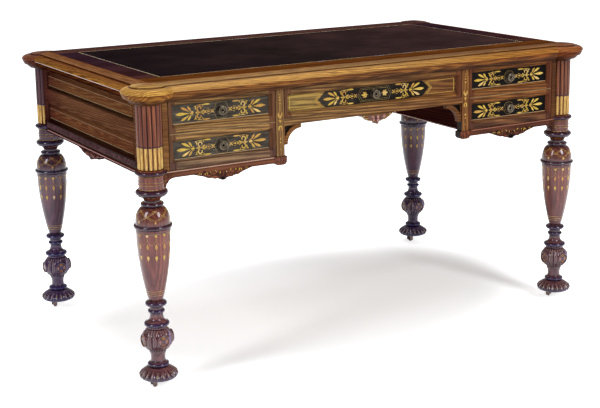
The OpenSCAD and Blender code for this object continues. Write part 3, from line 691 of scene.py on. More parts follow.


# Bands of colour by the tone attribute: over the moulding from its inner edge down, on the turned
# legs from crest to hollow, and from stroke to stroke of the carving. On the moulding they paint
# light and shade: a painted highlight on the fillet, and painted shade in the quirks and on the
# members under the nose. On the legs they paint shade in the hollows, and a dark violet tint on
# the crests and rings that is partly darker wood and partly painted reflection. On the carving
# the tone is random. At the table's two ends the moulding's bands take the tint of the first
# limit above their place, a painted shade, and its lip is END_LIP.

EDGE_LIGHT_AND_SHADE = (
    (0.0, 0.6, 0.42, 0.3), (0.03, 0.9, 0.75, 0.6), (0.06, 0.85, 0.78, 0.66),
    (0.25, 0.95, 0.93, 0.9), (0.28, 1.15, 1.15, 1.1), (0.3, 0.28, 0.18, 0.14),
    (0.345, 0.35, 0.25, 0.2), (0.37, 1.05, 1.0, 0.9), (0.6, 1.0, 0.92, 0.8),
    (0.63, 0.4, 0.16, 0.1), (0.655, 0.6, 0.42, 0.33), (0.75, 0.5, 0.34, 0.26),
    (0.775, 0.25, 0.13, 0.1), (0.84, 0.36, 0.25, 0.26), (0.93, 0.2, 0.12, 0.1),
    (1.0, 0.25, 0.16, 0.12))
# Painted shade of the moulding at the table's two ends
END_SHADE_TINTS = ((0.3, (0.56, 0.45, 0.8)), (0.62, (0.44, 0.3, 0.43)), (2, (0.3, 0.2, 0.3)))
END_LIP = (0.6, 0.66, 0.5, 0.4)
LEG_SHADE_AND_REFLECTION = ((0.4, 0.26, 0.32, 1.1), (0.46, *WHITE), (0.56, *WHITE), (0.68, 0.34, 0.3, 0.5),
             (1.0, 0.07, 0.06, 0.1))
CARVED_BANDS = ((0.0, 0.45, 0.4, 0.45), (0.5, *WHITE), (1.0, 2.4, 2.1, 2.1))
ROPE_BANDS = ((0.0, 0.8, 0.8, 0.8), (1.0, 1.3, 1.25, 1.25))

# Ramps over the table, each (axis, low, high, stops). EDGE_FADE, CAP_FADE, EDGE_BACK and CAP_BACK
# paint shade on the moulding and caps, darker and redder towards the right and darker towards the
# back. LEG_BACK paints shade and a violet reflection on the back legs, and LEG_RISE paints a violet
# reflection on the foot and ball while warming the vase and column. The other ramps make the wood
# darker and redder towards the right and the back, and recolour the lower rails and other parts by
# height

RAIL_FADE = ("X", -0.6, 0.6, ((0.0, 1.0, 1.08, 1.15), (0.45, *WHITE), (0.75, 0.85, 0.66, 0.52),
                              (1.0, 0.8, 0.56, 0.46)))
PANEL_FADE = ("X", -0.28, 0.28, ((0.0, 0.9, 1.1, 1.05), (0.5, 0.6, 0.5, 0.45),
                                 (1.0, 0.4, 0.27, 0.25)))
APRON_FADE = ("X", -0.6, 0.6, ((0.0, 1.0, 1.08, 1.1), (0.45, *WHITE), (0.75, 0.6, 0.55, 0.5),
                               (1.0, 0.5, 0.45, 0.42)))
# Painted shade on the moulding and caps: darker and redder towards the right
EDGE_FADE = ("X", -0.7, 0.7, ((0.0, 0.85, 0.82, 1.05), (0.55, 0.84, 0.8, 0.98),
                              (0.8, 0.66, 0.52, 0.45), (1.0, 0.6, 0.4, 0.4)))
CAP_FADE = ("X", -0.7, 0.7, ((0.0, 1.15, 1.15, 1.1), (0.6, *WHITE), (0.9, 0.5, 0.3, 0.36),
                             (1.0, 0.4, 0.22, 0.3)))
LEG_FADE = ("X", -0.7, 0.7, ((0.15, 1.15, 1.12, 1.1), (0.85, 0.97, 1, 1)))
# Painted shade and a painted violet reflection on the back legs
LEG_BACK = ("Y", -0.42, 0.42, ((0.2, *WHITE), (0.8, 0.44, 0.54, 1.5)))
SIDE_BACK = ("Y", -0.36, 0.36, ((0.7, *WHITE), (0.92, 0.6, 0.42, 0.6), (1.0, 0.45, 0.3, 0.55)))
# Painted shade on the moulding and caps: darker towards the back
EDGE_BACK = ("Y", -0.45, 0.45, ((0.3, *WHITE), (0.7, 0.7, 0.5, 0.6), (1.0, 0.65, 0.45, 0.55)))
CAP_BACK = ("Y", -0.45, 0.45, ((0.3, *WHITE), (0.7, 0.42, 0.25, 0.5), (1.0, 0.36, 0.2, 0.45)))
BOARD_BACK = ("Y", -0.35, 0.35, ((0.09, 2.4, 2.2, 0.5), (0.1, *WHITE), (0.6, 0.65, 0.75, 1.2),
                                 (0.9, 0.6, 0.7, 1.2), (0.91, 1.8, 2.2, 1.9)))
# A painted violet reflection on the foot and ball; the vase and column warmer
LEG_RISE = ("Z", 0.0, 0.76, ((0.0, 0.75, 1.1, 2.0), (0.27, 0.7, 0.95, 1.7), (0.31, 0.8, 0.85, 1.2),
                             (0.5, 1.2, 1.05, 0.9), (0.58, 0.8, 0.8, 0.75),
                             (0.68, 0.9, 0.9, 0.85), (0.78, 1.2, 1.45, 0.9),
                             (1.0, 1.25, 1.5, 0.9)))
LOW_RAIL = ("Z", 0.54, 0.6, ((0.48, 0.72, 0.78, 1.2), (0.51, *WHITE)))
PENDANT = ("Z", 0.5, 0.72, ((0.2, 0.75, 0.5, 0.85), (0.215, *WHITE)))
APRON_STILE = ("Z", 0.5, 0.72, ((0.21, *WHITE), (0.23, 1.5, 1.9, 1.1)))
SIDE_RISE = ("Z", 0.51, 0.72, ((0.0, 0.45, 0.33, 0.45), (0.27, 0.4, 0.28, 0.38),
                               (0.33, 0.9, 0.85, 0.85), (1.0, *WHITE)))
# Painted light and shade on the side panels' raised fields, up the ramp: painted shade in the groove
# under each field and in the groove over it, and a painted highlight on each field's top bevel
GROOVE_SHADE, BEVEL_HIGHLIGHT, UPPER_GROOVE_SHADE = (0.33, 0.3, 0.3), (1.2, 1.15, 1.05), (0.5, 0.45, 0.45)
SIDE_FIELD_LIGHT_AND_SHADE = ("Z", 0.56, 0.72, ((0.12, *GROOVE_SHADE), (0.13, 0.95, 0.84, 0.8), (0.3, 0.95, 0.84, 0.8),
                                 (0.315, *BEVEL_HIGHLIGHT), (0.35, *BEVEL_HIGHLIGHT), (0.36, *UPPER_GROOVE_SHADE), (0.63, *GROOVE_SHADE),
                                 (0.7, *GROOVE_SHADE), (0.71, 1.1, 1.1, 1.0), (0.87, 1.15, 1.15, 1.0),
                                 (0.885, *BEVEL_HIGHLIGHT), (0.92, *BEVEL_HIGHLIGHT), (0.93, *UPPER_GROOVE_SHADE)))
SIDE_STILES, CENTRE_STILES = (451.5 * MM, 128.5 * MM), (0.0, 258 * MM)


def end_bands():
    """Bands of the moulding at the table's two ends, darker and redder as painted shade."""
    bands = [(at, *tinted(rgb, 1, next(tint for end, tint in END_SHADE_TINTS if at < end)))
             for at, *rgb in EDGE_LIGHT_AND_SHADE]
    return [END_LIP if stop[0] == END_LIP[0] else stop for stop in bands]


def woods(tint):
    """Materials of the rails, frames, drawers, legs and carving, by finish."""
    rosewood, side, golden, board = tint.rosewood, tint.side_wood, tint.golden, tint.board
    return {
        "rail_x": wood("rosewood_along", rosewood, "X", along=[RAIL_FADE]),
        # The uprights get painted shade on their cheeks
        "rail_z": wood("rosewood_upright", rosewood, "Z", 0.7, cheeks=0.92, offset=0.3,
                       along=[RAIL_FADE, PENDANT]),
        "front_x": wood("drawer_front_rosewood", rosewood, "X", offset=0.7,
                        along=[RAIL_FADE, LOW_RAIL], stiles=SIDE_STILES),
        "centre_x": wood("centre_front_rosewood", rosewood, "X", offset=0.7,
                         along=[RAIL_FADE], stiles=CENTRE_STILES),
        "panel_x": wood("centre_panel_rosewood", tinted(rosewood, 1.35, (1, 1.08, 1)), "X", 0.8,
                        offset=1.9, along=[PANEL_FADE]),
        "apron_x": wood("apron_rosewood", tinted(rosewood, 0.55, (1.15, 0.72, 1.0)), "X", 0.45,
                        offset=1.1, along=[APRON_FADE, APRON_STILE]),
        "side_y": wood("side_rosewood", side, "Y", 0.5, 3 * MM, specular=0.0, offset=0.5,
                       along=[SIDE_RISE, SIDE_BACK]),
        "side_panel_y": wood("side_panel_rosewood", tinted(side, 1.15, (1, 1, 0.9)), "Y", 0.5,
                             3 * MM, specular=0.0, offset=1.7, along=[SIDE_FIELD_LIGHT_AND_SHADE, SIDE_BACK]),
        "back_x": wood("back_rosewood", side, "X", 0.9, offset=0.9),
        "board_x": wood("board_rosewood", board, "X", 0.7, specular=0.0, offset=0.2,
                        along=[BOARD_BACK]),
        "edge_x": wood("edge_along", golden, "X", 0.9, 3 * MM, specular=0.05, bands=EDGE_LIGHT_AND_SHADE,
                       along=[EDGE_FADE, EDGE_BACK]),
        "edge_y": wood("edge_across", golden, "Y", 0.7, 3 * MM, specular=0.0, bands=end_bands(),
                       offset=0.4),
        "cap": wood("cap_wood", golden, "X", 0.7, 5 * MM, specular=0.05, bands=EDGE_LIGHT_AND_SHADE,
                    offset=0.6, along=[CAP_FADE, CAP_BACK]),
        "leg": wood("leg_wood", tint.leg_wood, "Z", 0.55, 7 * MM, roughness=0.17, specular=0.2,
                    bands=LEG_SHADE_AND_REFLECTION, along=[LEG_RISE, LEG_BACK, LEG_FADE]),
        "carving": wood("carved_rosewood", tinted(rosewood, 0.6, (1, 0.68, 0.9)), "X", 0.5,
                        roughness=0.3, bands=CARVED_BANDS, offset=0.8, along=[APRON_FADE]),
        "side_carving": wood("side_carved_rosewood", tinted(side, 0.8, (1, 0.65, 0.8)), "Y", 0.5,
                             roughness=0.3, bands=CARVED_BANDS, offset=0.8),
        "leaf": wood("centre_leaf_wood", linear(112, 84, 80), "X", 0.5, roughness=0.3,
                     bands=CARVED_BANDS, offset=0.8),
        "rope": wood("rope_wood", linear(84, 58, 62), "Z", 0.3, roughness=0.3, specular=0.0,
                     bands=ROPE_BANDS),
        # The kneehole's inner sides: the board's colour made darker, as painted shade inside the
        # kneehole
        "inner_x": wood("inner_wood", tinted(board, 0.7, (1.25, 0.9, 0.85)), "Y", 0.5,
                        specular=0.0, offset=1.4),
        "lining_x": wood("lining_along", tint.lining, "X", 0.35, roughness=0.55),
        "lining_y": wood("lining_across", tint.lining, "Y", 0.35, roughness=0.55),
        "wheel": wood("wheel_wood", linear(84, 68, 70), "Y", 0.5, roughness=0.4),
    }


def trims(tint):
    """Materials of the ebonised grounds, the inlay, the gilding, the metals and the leather, and of
    the painted highlight lines and the sheets of painted shade.
    """
    made = {key: inlay_wood(name, rgb, shades) for key, name, rgb, shades in (
        ("inlay", "inlay_wood", tint.inlay, 0.5),
        ("leg_inlay", "leg_inlay_wood", tinted(tint.inlay, 1.0, (1, 1.02, 1.5)), 0.5),
        ("string", "string_line", tinted(tint.inlay, 0.8), 0.35),
        ("pale_string", "pale_string_line", tinted(tint.inlay, 0.45, (1, 1.1, 1.9)), 0.5),
        ("pale_gilt", "pale_gilding", linear(196, 172, 134), 0.5),
        ("gilt_line", "gilt_line", (0.5, 0.38, 0.26), 0.6),
        # The next five are painted highlights: light lines along beads, arrises, fillets, ledges and
        # carved edges
        ("worn_edge", "worn_edge", linear(190, 160, 140), 0.5),
        ("pale_edge", "pale_edge", linear(226, 198, 160), 0.4),
        ("arris", "rubbed_arris", linear(146, 118, 78), 0.5),
        ("ledge", "rubbed_ledge", linear(156, 104, 84), 0.5),
        ("relief", "rubbed_carving", linear(150, 130, 138), 0.5),
        ("flower", "flower_wood", linear(152, 108, 76), 0.5))}
    made.update({
        "ebony": ebonised("ebonised_panel", tint.ebony),
        # black is the aprons' drops and painted shade in the brackets and behind the rope bands, and
        # pit is painted shade round carved leaves
        "black": ebonised("ebonised_web", tinted(tint.ebony, 0.12)),
        "pit": ebonised("cut_ground", linear(48, 26, 28)),
        "gilding": gilded("gilding", tint.gilding),
        "bronze": metal("bronze", tint.bronze, 0.34, 0.45),
        "brass": metal("castor_brass", tint.brass, 0.4, 0.5),
        "steel": metal("screw_steel", linear(150, 148, 145), 0.4, 0.5),
        "leather": leather_hide("leather", tint.leather),
    })
    return made


def polish(material):
    """Violet gloss, and a coat up to the dome that is gone on the column."""
    main = material.node_tree.nodes["Principled BSDF"]
    main.inputs["Specular Tint"].default_value = (0.85, 0.75, 1, 1)
    height = axis_of(material, object_place(material), "Z")
    link(material, spread(material, height, 0.48, 0.56, 0.55, 0.0), main.inputs["Coat Weight"])


MATERIALS = {}


def finish(key):
    """The material of a finish, made once."""
    if not MATERIALS:
        tint = bpy.context.scene.writing_table_colours
        MATERIALS.update(woods(tint) | trims(tint))
        polish(MATERIALS["leg"])
    return MATERIALS[key]


SINK, CARVED_SINK = 0.5 * MM, 0.6 * MM
DOMED = {"section": ROUND, "crown": True}


def stroked(name, body, slot, key, strokes, ground, height, sink=SINK, section=FLAT, crown=False,
            seed=1):
    """Makes a piece of ribbons along strokes on a ground."""
    return piece(name, body, finish(key),
                 ribbons(strokes, ground, height, sink, section, crown, seed))


# What each carried-over solid is finished with

CARRIED = {
    "top_board": "board_x", "left_side_frame": "side_y", "right_side_frame": "side_y",
    "side_panels": "side_panel_y", "back_frame": "back_x", "back_panels": "back_x",
    "left_inner_side": "inner_x", "right_inner_side": "inner_x", "top_rails": "rail_x",
    "left_upright": "rail_z", "right_upright": "rail_z", "left_apron": "apron_x",
    "right_apron": "apron_x", "centre_rail": "rail_x", "kneehole_brackets": "apron_x",
    "bottom_boards": "lining_y", "drawer_runners": "lining_y", "top_screws": "steel",
    "castor_sockets": "brass",
}
CARRIED.update({f"{d}_drawer_front": "front_x" for d in DRAWERS})
CARRIED.update({f"{d}_drawer_panel": "ebony" for d in DRAWERS[:4]})
CARRIED.update({f"{d}_drawer_box": "lining_y" for d in DRAWERS})
CARRIED.update({f"{d}_drawer_bottom": "lining_x" for d in DRAWERS})
CARRIED.update({f"{c}_castor_fork": "brass" for c in CORNERS})
CARRIED.update({"centre_drawer_panel": "panel_x", "centre_drawer_front": "centre_x"})


class DressSolids(bpy.types.Operator):
    """Gives every solid that stays in view its finish"""

    bl_idname = "writing_table.dress_solids"
    bl_label = "Finish the solids"

    def execute(self, context):
        for name, key in CARRIED.items():
            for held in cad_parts[name].material_slots:
                held.material = finish(key)
        return {"FINISHED"}


# Legs. Heights are in millimetres, those of RINGS_UP and BALL_UP from the foot's lower edge and
# the others from the lower edge of the drawer banks. A ring is (height, thickness). The inlay's
# drops are drawn from the floor, and the first column of them lies at FIRST_DROP degrees.

BALL_UP = 103
RINGS_UP = ((37.3, 9), (142, 11), (174.5, 9), (194, 11))
RINGS_BY_BANK = ((-132, 10), (-78.4, 9), (-49, 14), (0, 10))
STRING_BEADS = (-39.5, -28.5, -22, -7.5)
LATTICE_LOW, LATTICE_HIGH = -122, -88
NECK, COLUMN_CORE, FIELD_DEPTH = 16.7, 27.1, 1.4
RING_SHADE, RING_SHARE = 0.3, 0.48
LEG_STEP, HOLLOW_REACH = 3.2 * MM, 7 * MM
DROP_COLUMNS, FIRST_DROP, ROUND_PARTS = 12, 15, 16
QUARTERS = (0, 90, 180, 270)


def bead(r, z, t, steps=10):
    """Half round ring of a turned profile: radius at its tip, height of its middle, thickness."""
    a = np.linspace(-np.pi / 2, np.pi / 2, steps)
    return [(r - t / 2 * (1 - math.cos(x)), z + t / 2 * math.sin(x)) for x in a]


def leg_profile(sizes):
    """Radius and height of the turned leg, in metres from the floor: foot, ball, rings, vase,
    dome, collar and column."""
    foot, ball, vase = (x / MM for x in (sizes.foot_radius, sizes.ball_radius, sizes.vase_radius))
    lower = [(foot - back, z) for back, z in (
        (18, 0), (8, 1.5), (3.5, 3.6), (1.2, 6.6), (0, 10.5), (0.8, 13.5), (3, 16.8), (6.8, 20.4),
        (11.5, 24.2), (16.5, 27.6), (21, 30))]
    lower += [(24, 31.5)] + bead(26.9, *RINGS_UP[0])
    lower += [(20.5, 43), (18.4, 45.5), (17.7, 50), (17.6, 56), (18.2, 62), (20, 66.5), (21, 70)]
    lower += [(ball * math.cos(math.radians(t)), BALL_UP + 34 * math.sin(math.radians(t)))
              for t in range(-56, 57, 4)]
    lower += [(25, 132), (25, 135.5)] + bead(31.6, *RINGS_UP[1])
    lower += [(25, 148.5), (21.5, 150.5), (18.6, 154), (17, 159), (16.4, 164), (16.3, 169)]
    lower += bead(21.2, *RINGS_UP[2]) + [(17, 180), (16.6, 183.5), (17, 187)]
    lower += bead(26.9, *RINGS_UP[3]) + [(NECK, 201)]
    bank = BANK_Z / MM
    vase_low, vase_high = FOOT_Z / MM + 202, bank - 146.5
    body = [(NECK + (vase - NECK) * math.sin(math.pi / 2 * s) ** 0.86,
             vase_low + s * (vase_high - vase_low)) for s in np.linspace(0, 1, 30)]
    upper = [(vase + 1.5, -145), (vase + 1.5, -138)] + bead(48, *RINGS_BY_BANK[0])
    upper += [(24 + 19 * math.cos(math.radians(t)), -126 + 41 * math.sin(math.radians(t)))
              for t in range(0, 81, 5)]
    upper += [(20.5, -85), (20.5, -83.5)] + bead(28.7, *RINGS_BY_BANK[1])
    upper += [(20, -73), (20, -70), (20.8, -67), (23.5, -63.4), (28, -59.6), (34.5, -57)]
    upper += bead(40, *RINGS_BY_BANK[2]) + [(31.7, -41)]
    for z in STRING_BEADS:
        upper += bead(32.5, z, 1.8, 6)
    upper += bead(40, *RINGS_BY_BANK[3]) + [(31.7, 6), (COLUMN_CORE, 9)]
    column = [(COLUMN_CORE, REEDS_Z / MM - 0.2), (31, REEDS_Z / MM), (31, CAP_Z / MM)]
    whole = [(r, z + FOOT_Z / MM) for r, z in lower] + body
    whole += [(r, z + bank) for r, z in upper] + column
    return np.array(whole) * MM


def carved_leg(sizes):
    """The leg's radius round its axis: reeds on the column, leaves with a midrib between the
    ball's roundels, and lobes on the foot."""
    reed = sizes.reed_radius
    axis = sizes.column_radius - reed
    pitch = 2 * np.pi / sizes.reed_count
    leaf_reach, leaf_half, vein_half = 25 * MM, 10.5 * MM, 1.1 * MM
    fans = 12
    foot_low, foot_top = FOOT_Z + 4 * MM, FOOT_Z + 31 * MM

    def shape(angle, r, z):
        off = (angle + pitch / 2) % pitch - pitch / 2
        reeded = axis * np.cos(off) + np.sqrt(reed ** 2 - (axis * np.sin(off)) ** 2)
        r = np.where(z > REEDS_Z - 0.1 * MM, reeded, r)
        up = (z - FOOT_Z - BALL_UP * MM) / leaf_reach
        arc = (angle % (np.pi / 2) - np.pi / 4) * sizes.ball_radius
        half = leaf_half * np.clip(1 - up ** 2, 0, 1) ** 0.75
        inside = np.clip(1 - (arc / np.maximum(half, 1e-6)) ** 2, 0, 1)
        vein = np.exp(-(arc / vein_half) ** 2)
        ribs = 0.7 * np.cos(z / MM * 1.25 + np.abs(arc) / MM * 1.1)
        swell = 1.6 * inside ** 0.4 - 2.2 * vein + ribs * inside - 1.1
        r = r + MM * np.where((np.abs(up) < 1) & (inside > 0), swell, 0)
        fan = np.clip((np.abs(up) - 0.45) / 0.2, 0, 1) * np.clip((1.3 - np.abs(up)) / 0.2, 0, 1)
        r = r - 1.9 * MM * fan * (1 - np.abs(np.sin(angle * fans))) ** 1.3
        run = np.clip((z - foot_low) / (foot_top - foot_low), 0, 1)
        wave = np.abs(np.sin(angle * sizes.lobe_count / 2))
        return r - sizes.lobe_depth * (1 - wave) ** 1.6 * np.sin(np.pi * run) ** 0.7
    return shape


def roundel(sizes):
    """Roundel about its own axis: a sunk field inside a half round rim."""
    r = sizes.roundel_radius / MM
    edge = [(r - 1.5 + 1.5 * math.cos(a), -0.2 + 1.1 * math.sin(a))
            for a in np.linspace(0, np.pi, 9)]
    profile = [(r, -8)] + edge
    profile += [(r - 3.4, 0.2 - FIELD_DEPTH), (r - 6, -FIELD_DEPTH), (2, -FIELD_DEPTH)]
    return turned(np.array(profile) * MM, 48, tone=[0.6] + [0.5] * len(edge) + [0.66, 0.62, 0.62])


def flower():
    """Flower in a roundel: petals out from the middle."""
    turns = np.arange(4) * np.pi / 2
    return [leaf((1.5 * math.cos(a), 1.5 * math.sin(a)), (13 * math.cos(a), 13 * math.sin(a)), 5.8)
            for a in turns]


def ball_leaves(radius, middle):
    """Edges of the ball's carved leaves as pointed arches, and short flutes above and below."""
    quarter, twelfth = radius * math.pi / 2, radius * math.pi / 12
    arches = [leaf((u, middle - 24), (u, middle + 24), thick, s * bend)
              for u in quarter * np.arange(0.5, 4) for s in (-1, 1)
              for thick, bend in ((1.5, 0.22), (1.0, 0.1))]
    flutes = [leaf((u, middle + s * 20), (u, middle + s * 27), 1.1)
              for u in twelfth * np.arange(0.5, 24) for s in (-1, 1)]
    return arches + flutes


def leg_centre(i):
    """Axis of the leg at corner i, at floor level."""
    return np.array([(-LEG_X, LEG_X)[i % 2], (-LEG_Y, LEG_Y)[i // 2], 0.0])


def rising(profile):
    """The points of a profile that lie above the one before."""
    return profile[np.concatenate([[True], np.diff(profile[:, 1]) > 0.01 * MM])]


def leg_shade(profile):
    """Painted shade of each point of the leg's profile, held low on the rings so that they take
    the crests' tint.
    """
    shade = hollows(profile, HOLLOW_REACH)
    rings = [(FOOT_Z / MM + z, thick) for z, thick in RINGS_UP]
    rings += [(BANK_Z / MM + z, thick) for z, thick in RINGS_BY_BANK]
    for z, thick in rings:
        inside = np.abs(profile[:, 1] / MM - z) < RING_SHARE * thick
        shade = np.where(inside, np.minimum(shade, RING_SHADE), shade)
    return shade


class MakeLegs(bpy.types.Operator):
    """Turned and carved legs, with their roundels and flowers"""

    bl_idname = "writing_table.legs"
    bl_label = "Legs"

    def execute(self, context):
        sizes = context.scene.writing_table_sizes
        foot, ball = FOOT_Z / MM, sizes.ball_radius / MM
        profile = finer(leg_profile(sizes), LEG_STEP)
        shade = leg_shade(profile)
        made = turned(profile, 10 * sizes.reed_count, carved_leg(sizes), shade)
        disc = roundel(sizes)
        out = sizes.ball_radius - 0.5 * MM
        lobe = 2 * math.pi * ball / sizes.lobe_count
        lobes = [leaf((lobe * (k + 0.5), foot + 26), (lobe * (k + 0.5), foot + 11), 1.6, peak=0.7)
                 for k in range(sizes.lobe_count)]
        marks = ball_leaves(ball, foot + BALL_UP) + lobes
        rim = [bow((0, 0), 15, start, start + 90, 0.9) for start in QUARTERS]
        for i, corner in enumerate(CORNERS):
            centre = leg_centre(i)
            parts, flowers = [(made[0] + centre, made[1], made[2])], []
            # The ball's carving lines, the foot's lobes and the roundels' rims are pale ribbons:
            # painted highlights on carved edges
            edges = [ribbons(marks, on_turning(centre, rising(profile), sizes.ball_radius),
                             1.3 * MM, 1.2 * MM, ROUND, True, 9)]
            for k, turn in enumerate(QUARTERS):
                a = math.radians(turn)
                away = np.array([math.cos(a), math.sin(a), 0.0])
                along = np.array([-math.sin(a), math.cos(a), 0.0])
                origin = centre + away * out + [0, 0, FOOT_Z + BALL_UP * MM]
                parts.append(placed(disc, origin, along, UP, away))
                ground = on_plane(origin - FIELD_DEPTH * MM * away, along, UP, away)
                flowers.append(ribbons(flower(), ground, 1.5 * MM, 0.3 * MM, ROUND, True, k + 1))
                edges.append(ribbons(rim, ground, 2.5 * MM, 0.3 * MM, ROUND, False, k + 3))
            for name, slot, key, surfaces, replaced in (
                    ("leg_turning", "leg_wood", "leg", parts, (f"{corner}_leg",)),
                    ("leg_flowers", "gilding", "flower", flowers, ()),
                    ("ball_carving", "leg_wood", "relief", edges, ())):
                piece(f"{corner}_{name}", "table", finish(key), join(surfaces), replaced)
        return {"FINISHED"}


def hanging_drops(ref):
    """Columns of dots and drops round the vase, with threads that hang between them."""
    marks = []
    step = ref * math.pi / DROP_COLUMNS
    for k in range(DROP_COLUMNS):
        u = ref * (math.radians(FIRST_DROP) + 2 * math.pi * k / DROP_COLUMNS)
        marks += [dot((u, 397), 3.1, 1.05), leaf((u, 361.5), (u, 377.5), 3.1, peak=0.5),
                  leaf((u, 330), (u, 347), 3.4, peak=0.72), line((u, 392), (u, 386), 0.35),
                  line((u, 361), (u, 350), 0.25)]
        for s in (-1, 1):
            spine, width = line((u, 386), (u + s * step, 373.5), 0.2)
            spine[:, 1] -= 2.5 * np.sin(np.pi * RUN)
            marks.append((spine, width))
    return marks


def round_lines(ref):
    """Thin lines round the vase, and round the collar and its beads."""
    bank = BANK_Z / MM
    rounds = [(240.5, 0.42), (246, 0.42), (251.5, 0.42), (bank - 146, 0.4)]
    rounds += [(bank + z, 0.34) for z in (-58.6, *STRING_BEADS)]
    arc = ref * 2 * math.pi / ROUND_PARTS
    return [line((arc * k, z), (arc * (k + 1), z), thick)
            for z, thick in rounds for k in range(ROUND_PARTS)]


def lattice(ref):
    """Six dots round the dome, with slanted lines from each to both sides."""
    low_z, high_z = BANK_Z / MM + LATTICE_LOW, BANK_Z / MM + LATTICE_HIGH
    marks = []
    for k in range(6):
        u = ref * math.radians(FIRST_DROP + 60 * k)
        marks.append(dot((u, low_z + 5), 2.4, 1.3))
        marks += [line((u + s * gap, low_z + 9), (u + s * (gap + ref * 1.05), high_z - 1), 0.18)
                  for s in (-1, 1) for gap in (0, 4, 8)]
    return marks


class MakeLegInlay(bpy.types.Operator):
    """Gilded reeds, and the inlaid drops, lines and lattice of the legs"""

    bl_idname = "writing_table.leg_inlay"
    bl_label = "Leg inlay and gilding"

    def execute(self, context):
        sizes = context.scene.writing_table_sizes
        ref = sizes.vase_radius / MM
        spots = COLUMN_CORE * 2 * math.pi * np.arange(sizes.reed_count) / sizes.reed_count
        reeds = [line((u, GILT_Z / MM + 0.6), (u, REEDS_Z / MM), 3.9) for u in spots]
        marks = hanging_drops(ref) + round_lines(ref) + lattice(ref)
        core = np.array([[COLUMN_CORE, 0], [COLUMN_CORE, 1000]]) * MM
        for i, corner in enumerate(CORNERS):
            centre = leg_centre(i)
            made = ribbons(reeds, on_turning(centre, core, COLUMN_CORE * MM), 4.8 * MM, 0.3 * MM,
                           ROUND, False, i + 1)
            piece(f"{corner}_gilded_reeds", "table", finish("gilding"), made,
                  ("gilt_reed_strips",))
            skin = on_turning(centre, rising(leg_profile(sizes)), sizes.vase_radius)
            stroked(f"{corner}_leg_inlay", "table", "gilding", "leg_inlay", marks, skin,
                    sizes.inlay_proud, seed=i + 5)
        return {"FINISHED"}


def wheel_turning(r, w):
    """Wheel with a rounded tread about its own axle: radius and half width in millimetres."""
    half = [(2.1, 0.6 - w), (4.2, 0.5 - w), (4.6, -w), (r - 2.2, -w), (r - 0.8, 0.7 - w),
            (r - 0.15, 2.2 - w)]
    profile = half + [(r, 0)] + [(x, -z) for x, z in reversed(half)]
    return turned(finer(np.array(profile) * MM, 2 * MM), 48)


class MakeCastors(bpy.types.Operator):
    """Castor wheels with rounded treads"""

    bl_idname = "writing_table.castors"
    bl_label = "Castor wheels"

    def execute(self, context):
        for corner in CORNERS:
            node_name = f"{corner}_castor_wheel"
            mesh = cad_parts[node_name].data
            co = np.zeros(len(mesh.vertices) * 3, np.float32)
            mesh.vertices.foreach_get("co", co)
            co = co.reshape(-1, 3).astype(float)
            centre = (co.min(axis=0) + co.max(axis=0)) / 2
            radius = (co[:, 2].max() - co[:, 2].min()) / 2
            flat = co[:, :2] - centre[:2]
            axle = np.linalg.eigh(flat.T @ flat)[1][:, 0]
            top = flat[np.abs(co[:, 2] - centre[2]) > 0.98 * radius]
            wheel = wheel_turning(radius / MM, np.abs(top @ axle).max() / MM)
            ez = np.array([axle[0], axle[1], 0.0])
            piece(f"{corner}_wheel_tread", f"{corner}_wheel", finish("wheel"),
                  placed(wheel, centre, np.cross(UP, ez), UP, ez), (node_name,))
        return {"FINISHED"}


# Top

def edge_profile(sizes):
    """Distance outside the leg centres and height of the moulded edge, from its inner edge over
    the slope, the quirk and the ovolo to its lowest member, in metres."""
    nose = sizes.nose / MM
    points = [(-6, 0), (9, 2), (23, 3.86), (24.4, 4.1), (25.2, 4.6), (25.8, 6.2), (26.6, 6.8)]
    points += [(29, 7)]
    points += [(29 + (nose - 29) * math.sin(math.radians(t)),
                7 + 11.5 * (1 - math.cos(math.radians(t)))) for t in range(10, 91, 8)]
    points += [(nose - back, drop) for back, drop in (
        (0.2, 19.6), (0.9, 20.7), (2.2, 21.2), (2.4, 22), (2.1, 22.7), (2.9, 25.4), (4.4, 28.8),
        (5.9, 31.6), (6.9, 33))]
    points += [(35, 34), (34.3, 35.4), (33.2, 37.4), (31.8, 39.2), (30.4, 40.4), (29, 41)]
    points += [(28.2, 42.2), (28, 43.2), (20, 43.98)]
    away, drop = np.array(points).T
    return np.stack([away * MM, TOP_Z - drop * MM], axis=1)


def shares(profile):
    """Share of the profile's length at each of its points."""
    along = lengths(profile)
    return along / along[-1]


